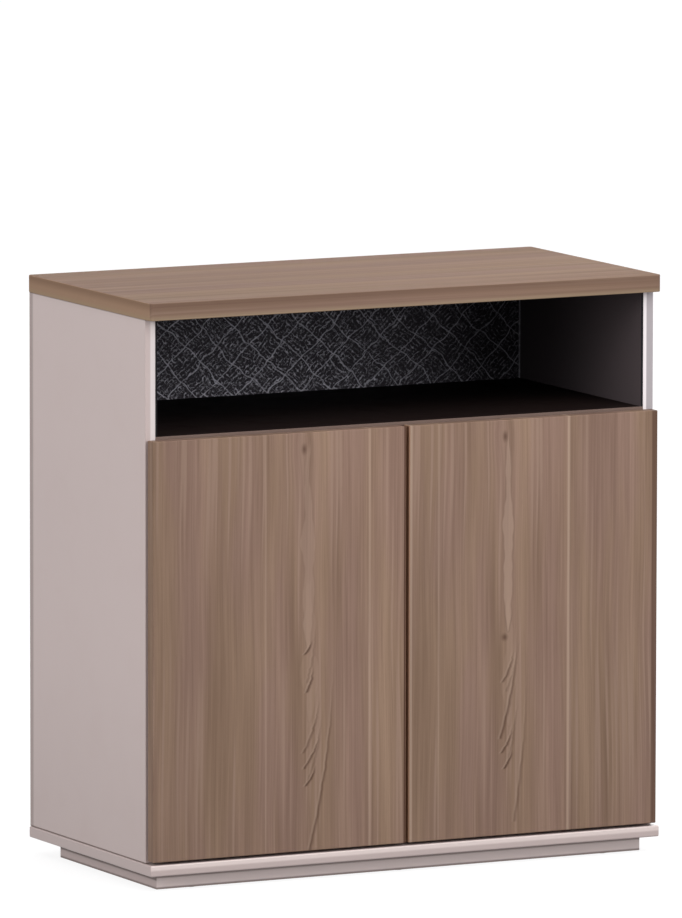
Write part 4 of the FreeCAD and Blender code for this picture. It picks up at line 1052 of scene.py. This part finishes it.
# ---------------------------------------------------------------- studio
def look_from(studio):
    """Camera's place and axes from its angles, round the middle of the cabinet."""
    low, high = (Vector(corner) for corner in cabinet_box)
    a, e, r = studio.camera_azimuth, studio.camera_elevation, studio.camera_roll
    back = Vector((-math.sin(a) * math.cos(e), -math.cos(a) * math.cos(e), math.sin(e)))
    right = (-back).cross(Vector((0, 0, 1))).normalized()
    up = right.cross(-back)
    side = right * math.cos(r) + up * math.sin(r)
    top = up * math.cos(r) - right * math.sin(r)
    aim = Vector((0, 0, (low.z + high.z) / 2)) + side * studio.camera_right
    aim += top * studio.camera_up
    return aim + back * studio.camera_distance, side, top, back


def add_light(name, lamp, place, aim, energy):
    """Hang a lamp at a place and turn it towards an aim."""
    lamp.energy = energy
    holder = new_object(name, lamp)
    holder.location = Vector(place)
    holder.rotation_euler = (Vector(place) - Vector(aim)).to_track_quat("Z", "Y").to_euler()


def far_light(name, toward, spread, strength):
    """A far soft light that shines from one side, spread over an angle in degrees."""
    lamp = bpy.data.lights.new(name, "SUN")
    lamp.angle = math.radians(spread)
    add_light(name, lamp, toward, (0, 0, 0), strength)


def soft_lamp(name, place, width, watts):
    """A square lamp that hangs near the cabinet and faces its middle."""
    lamp = bpy.data.lights.new(name, "AREA")
    lamp.size = width
    add_light(name, lamp, place, (0, 0, 0.5), watts)


def seen_directly(sheet):
    """1 for rays from the camera, a reflection or a clear piece, 0 for light on its way."""
    path = sheet.node("LightPath").outputs
    return sheet.most(path["Is Camera Ray"], path["Is Glossy Ray"], path["Is Transmission Ray"])


def studio_floor(tone, glow):
    """A large floor that carries the cabinet's shadow."""
    shape = bmesh.new()
    bmesh.ops.create_grid(shape, x_segments=1, y_segments=1, size=30.0)
    mesh = new_mesh("studio_floor", shape)
    sheet = Finish("studio_floor", Roughness=0.9, Specular_IOR_Level=0.0, Emission_Color=WHITE)
    skin = sheet.effect("fine_emboss", Vector=sheet.spot, Grain=0.004, Base=tone, Mottle=0.01,
                        Gloss=0.85)
    sheet.feed(sheet.shader["Emission Strength"], seen_directly(sheet) * glow)
    mesh.materials.append(sheet.done(skin["Color"]))
    return new_object("studio_floor", mesh)


def room_world(strength):
    """Even light all around, white where it is seen directly."""
    world = bpy.data.worlds.new("room")
    world.use_nodes = True
    world.node_tree.nodes.clear()
    sheet = Sheet(world.node_tree)
    even, white = (sheet.node("Background", {"Color": WHITE, "Strength": share}).outputs[0]
                   for share in (strength, 1.0))
    both = sheet.node("MixShader", {0: seen_directly(sheet), 1: even, 2: white})
    sheet.node("OutputWorld", {"Surface": both.outputs[0]})
    return world


class CREDENZA_OT_studio(bpy.types.Operator):
    """Add the floor, the soft lamps, the room light and the camera"""
    bl_idname = "credenza.studio"
    bl_label = "Studio"

    def execute(self, context):
        studio = settings().studio
        studio_floor(studio.floor_tone, studio.floor_glow)
        soft_lamp("key_lamp", (0.6, -2.3, 2.3), 1.6, studio.key)
        soft_lamp("left_lamp", (-4.4, -1.5, 1.7), 2.4, studio.fill)
        far_light("low_light", (0.50, -0.86, 0.10), 40.0, studio.low)
        far_light("top_light", (0.0, -0.1, 1.0), 70.0, studio.top)
        far_light("back_light", (0.7, 0.9, 0.5), 60.0, studio.back)
        context.scene.world = room_world(studio.sky)
        lens = bpy.data.cameras.new("camera")
        lens.lens = studio.focal_length
        lens.sensor_width = 36.0
        lens.sensor_fit = "AUTO"
        lens.clip_end = 200.0
        camera = new_object("camera", lens)
        place, *axes = look_from(studio)
        camera.matrix_world = Matrix.Translation(place) @ Matrix(axes).transposed().to_4x4()
        context.scene.camera = camera
        context.scene.view_settings.view_transform = "Standard"
        return {"FINISHED"}


class CREDENZA_PT_sidebar(bpy.types.Panel):
    """The credenza's settings and operators"""
    bl_idname = "CREDENZA_PT_sidebar"
    bl_label = "Credenza"
    bl_space_type = "VIEW_3D"
    bl_region_type = "UI"
    bl_category = "Credenza"

    def draw(self, context):
        for part in ("colours", "sizes", "studio"):
            box = self.layout.box()
            box.label(text=part.capitalize())
            group = getattr(context.scene.credenza, part)
            for name in group.__annotations__:
                box.prop(group, name)
        for operator in OPERATORS:
            self.layout.operator(operator.bl_idname)


OPERATORS = (CREDENZA_OT_worktop, CREDENZA_OT_doors, CREDENZA_OT_carcass, CREDENZA_OT_niche,
             CREDENZA_OT_fittings, CREDENZA_OT_studio)
CLASSES = (CredenzaColours, CredenzaSizes, CredenzaStudio, CredenzaSettings, *OPERATORS,
           CREDENZA_PT_sidebar)


def register():
    for item in CLASSES:
        bpy.utils.register_class(item)
    bpy.types.Scene.credenza = PointerProperty(type=CredenzaSettings)


def unregister():
    del bpy.types.Scene.credenza
    for item in reversed(CLASSES):
        bpy.utils.unregister_class(item)


def main():
    register()
    bpy.ops.credenza.worktop()
    bpy.ops.credenza.doors()
    bpy.ops.credenza.carcass()
    bpy.ops.credenza.niche()
    bpy.ops.credenza.fittings()
    bpy.ops.credenza.studio()
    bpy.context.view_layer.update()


if __name__ == "__main__":
    main()
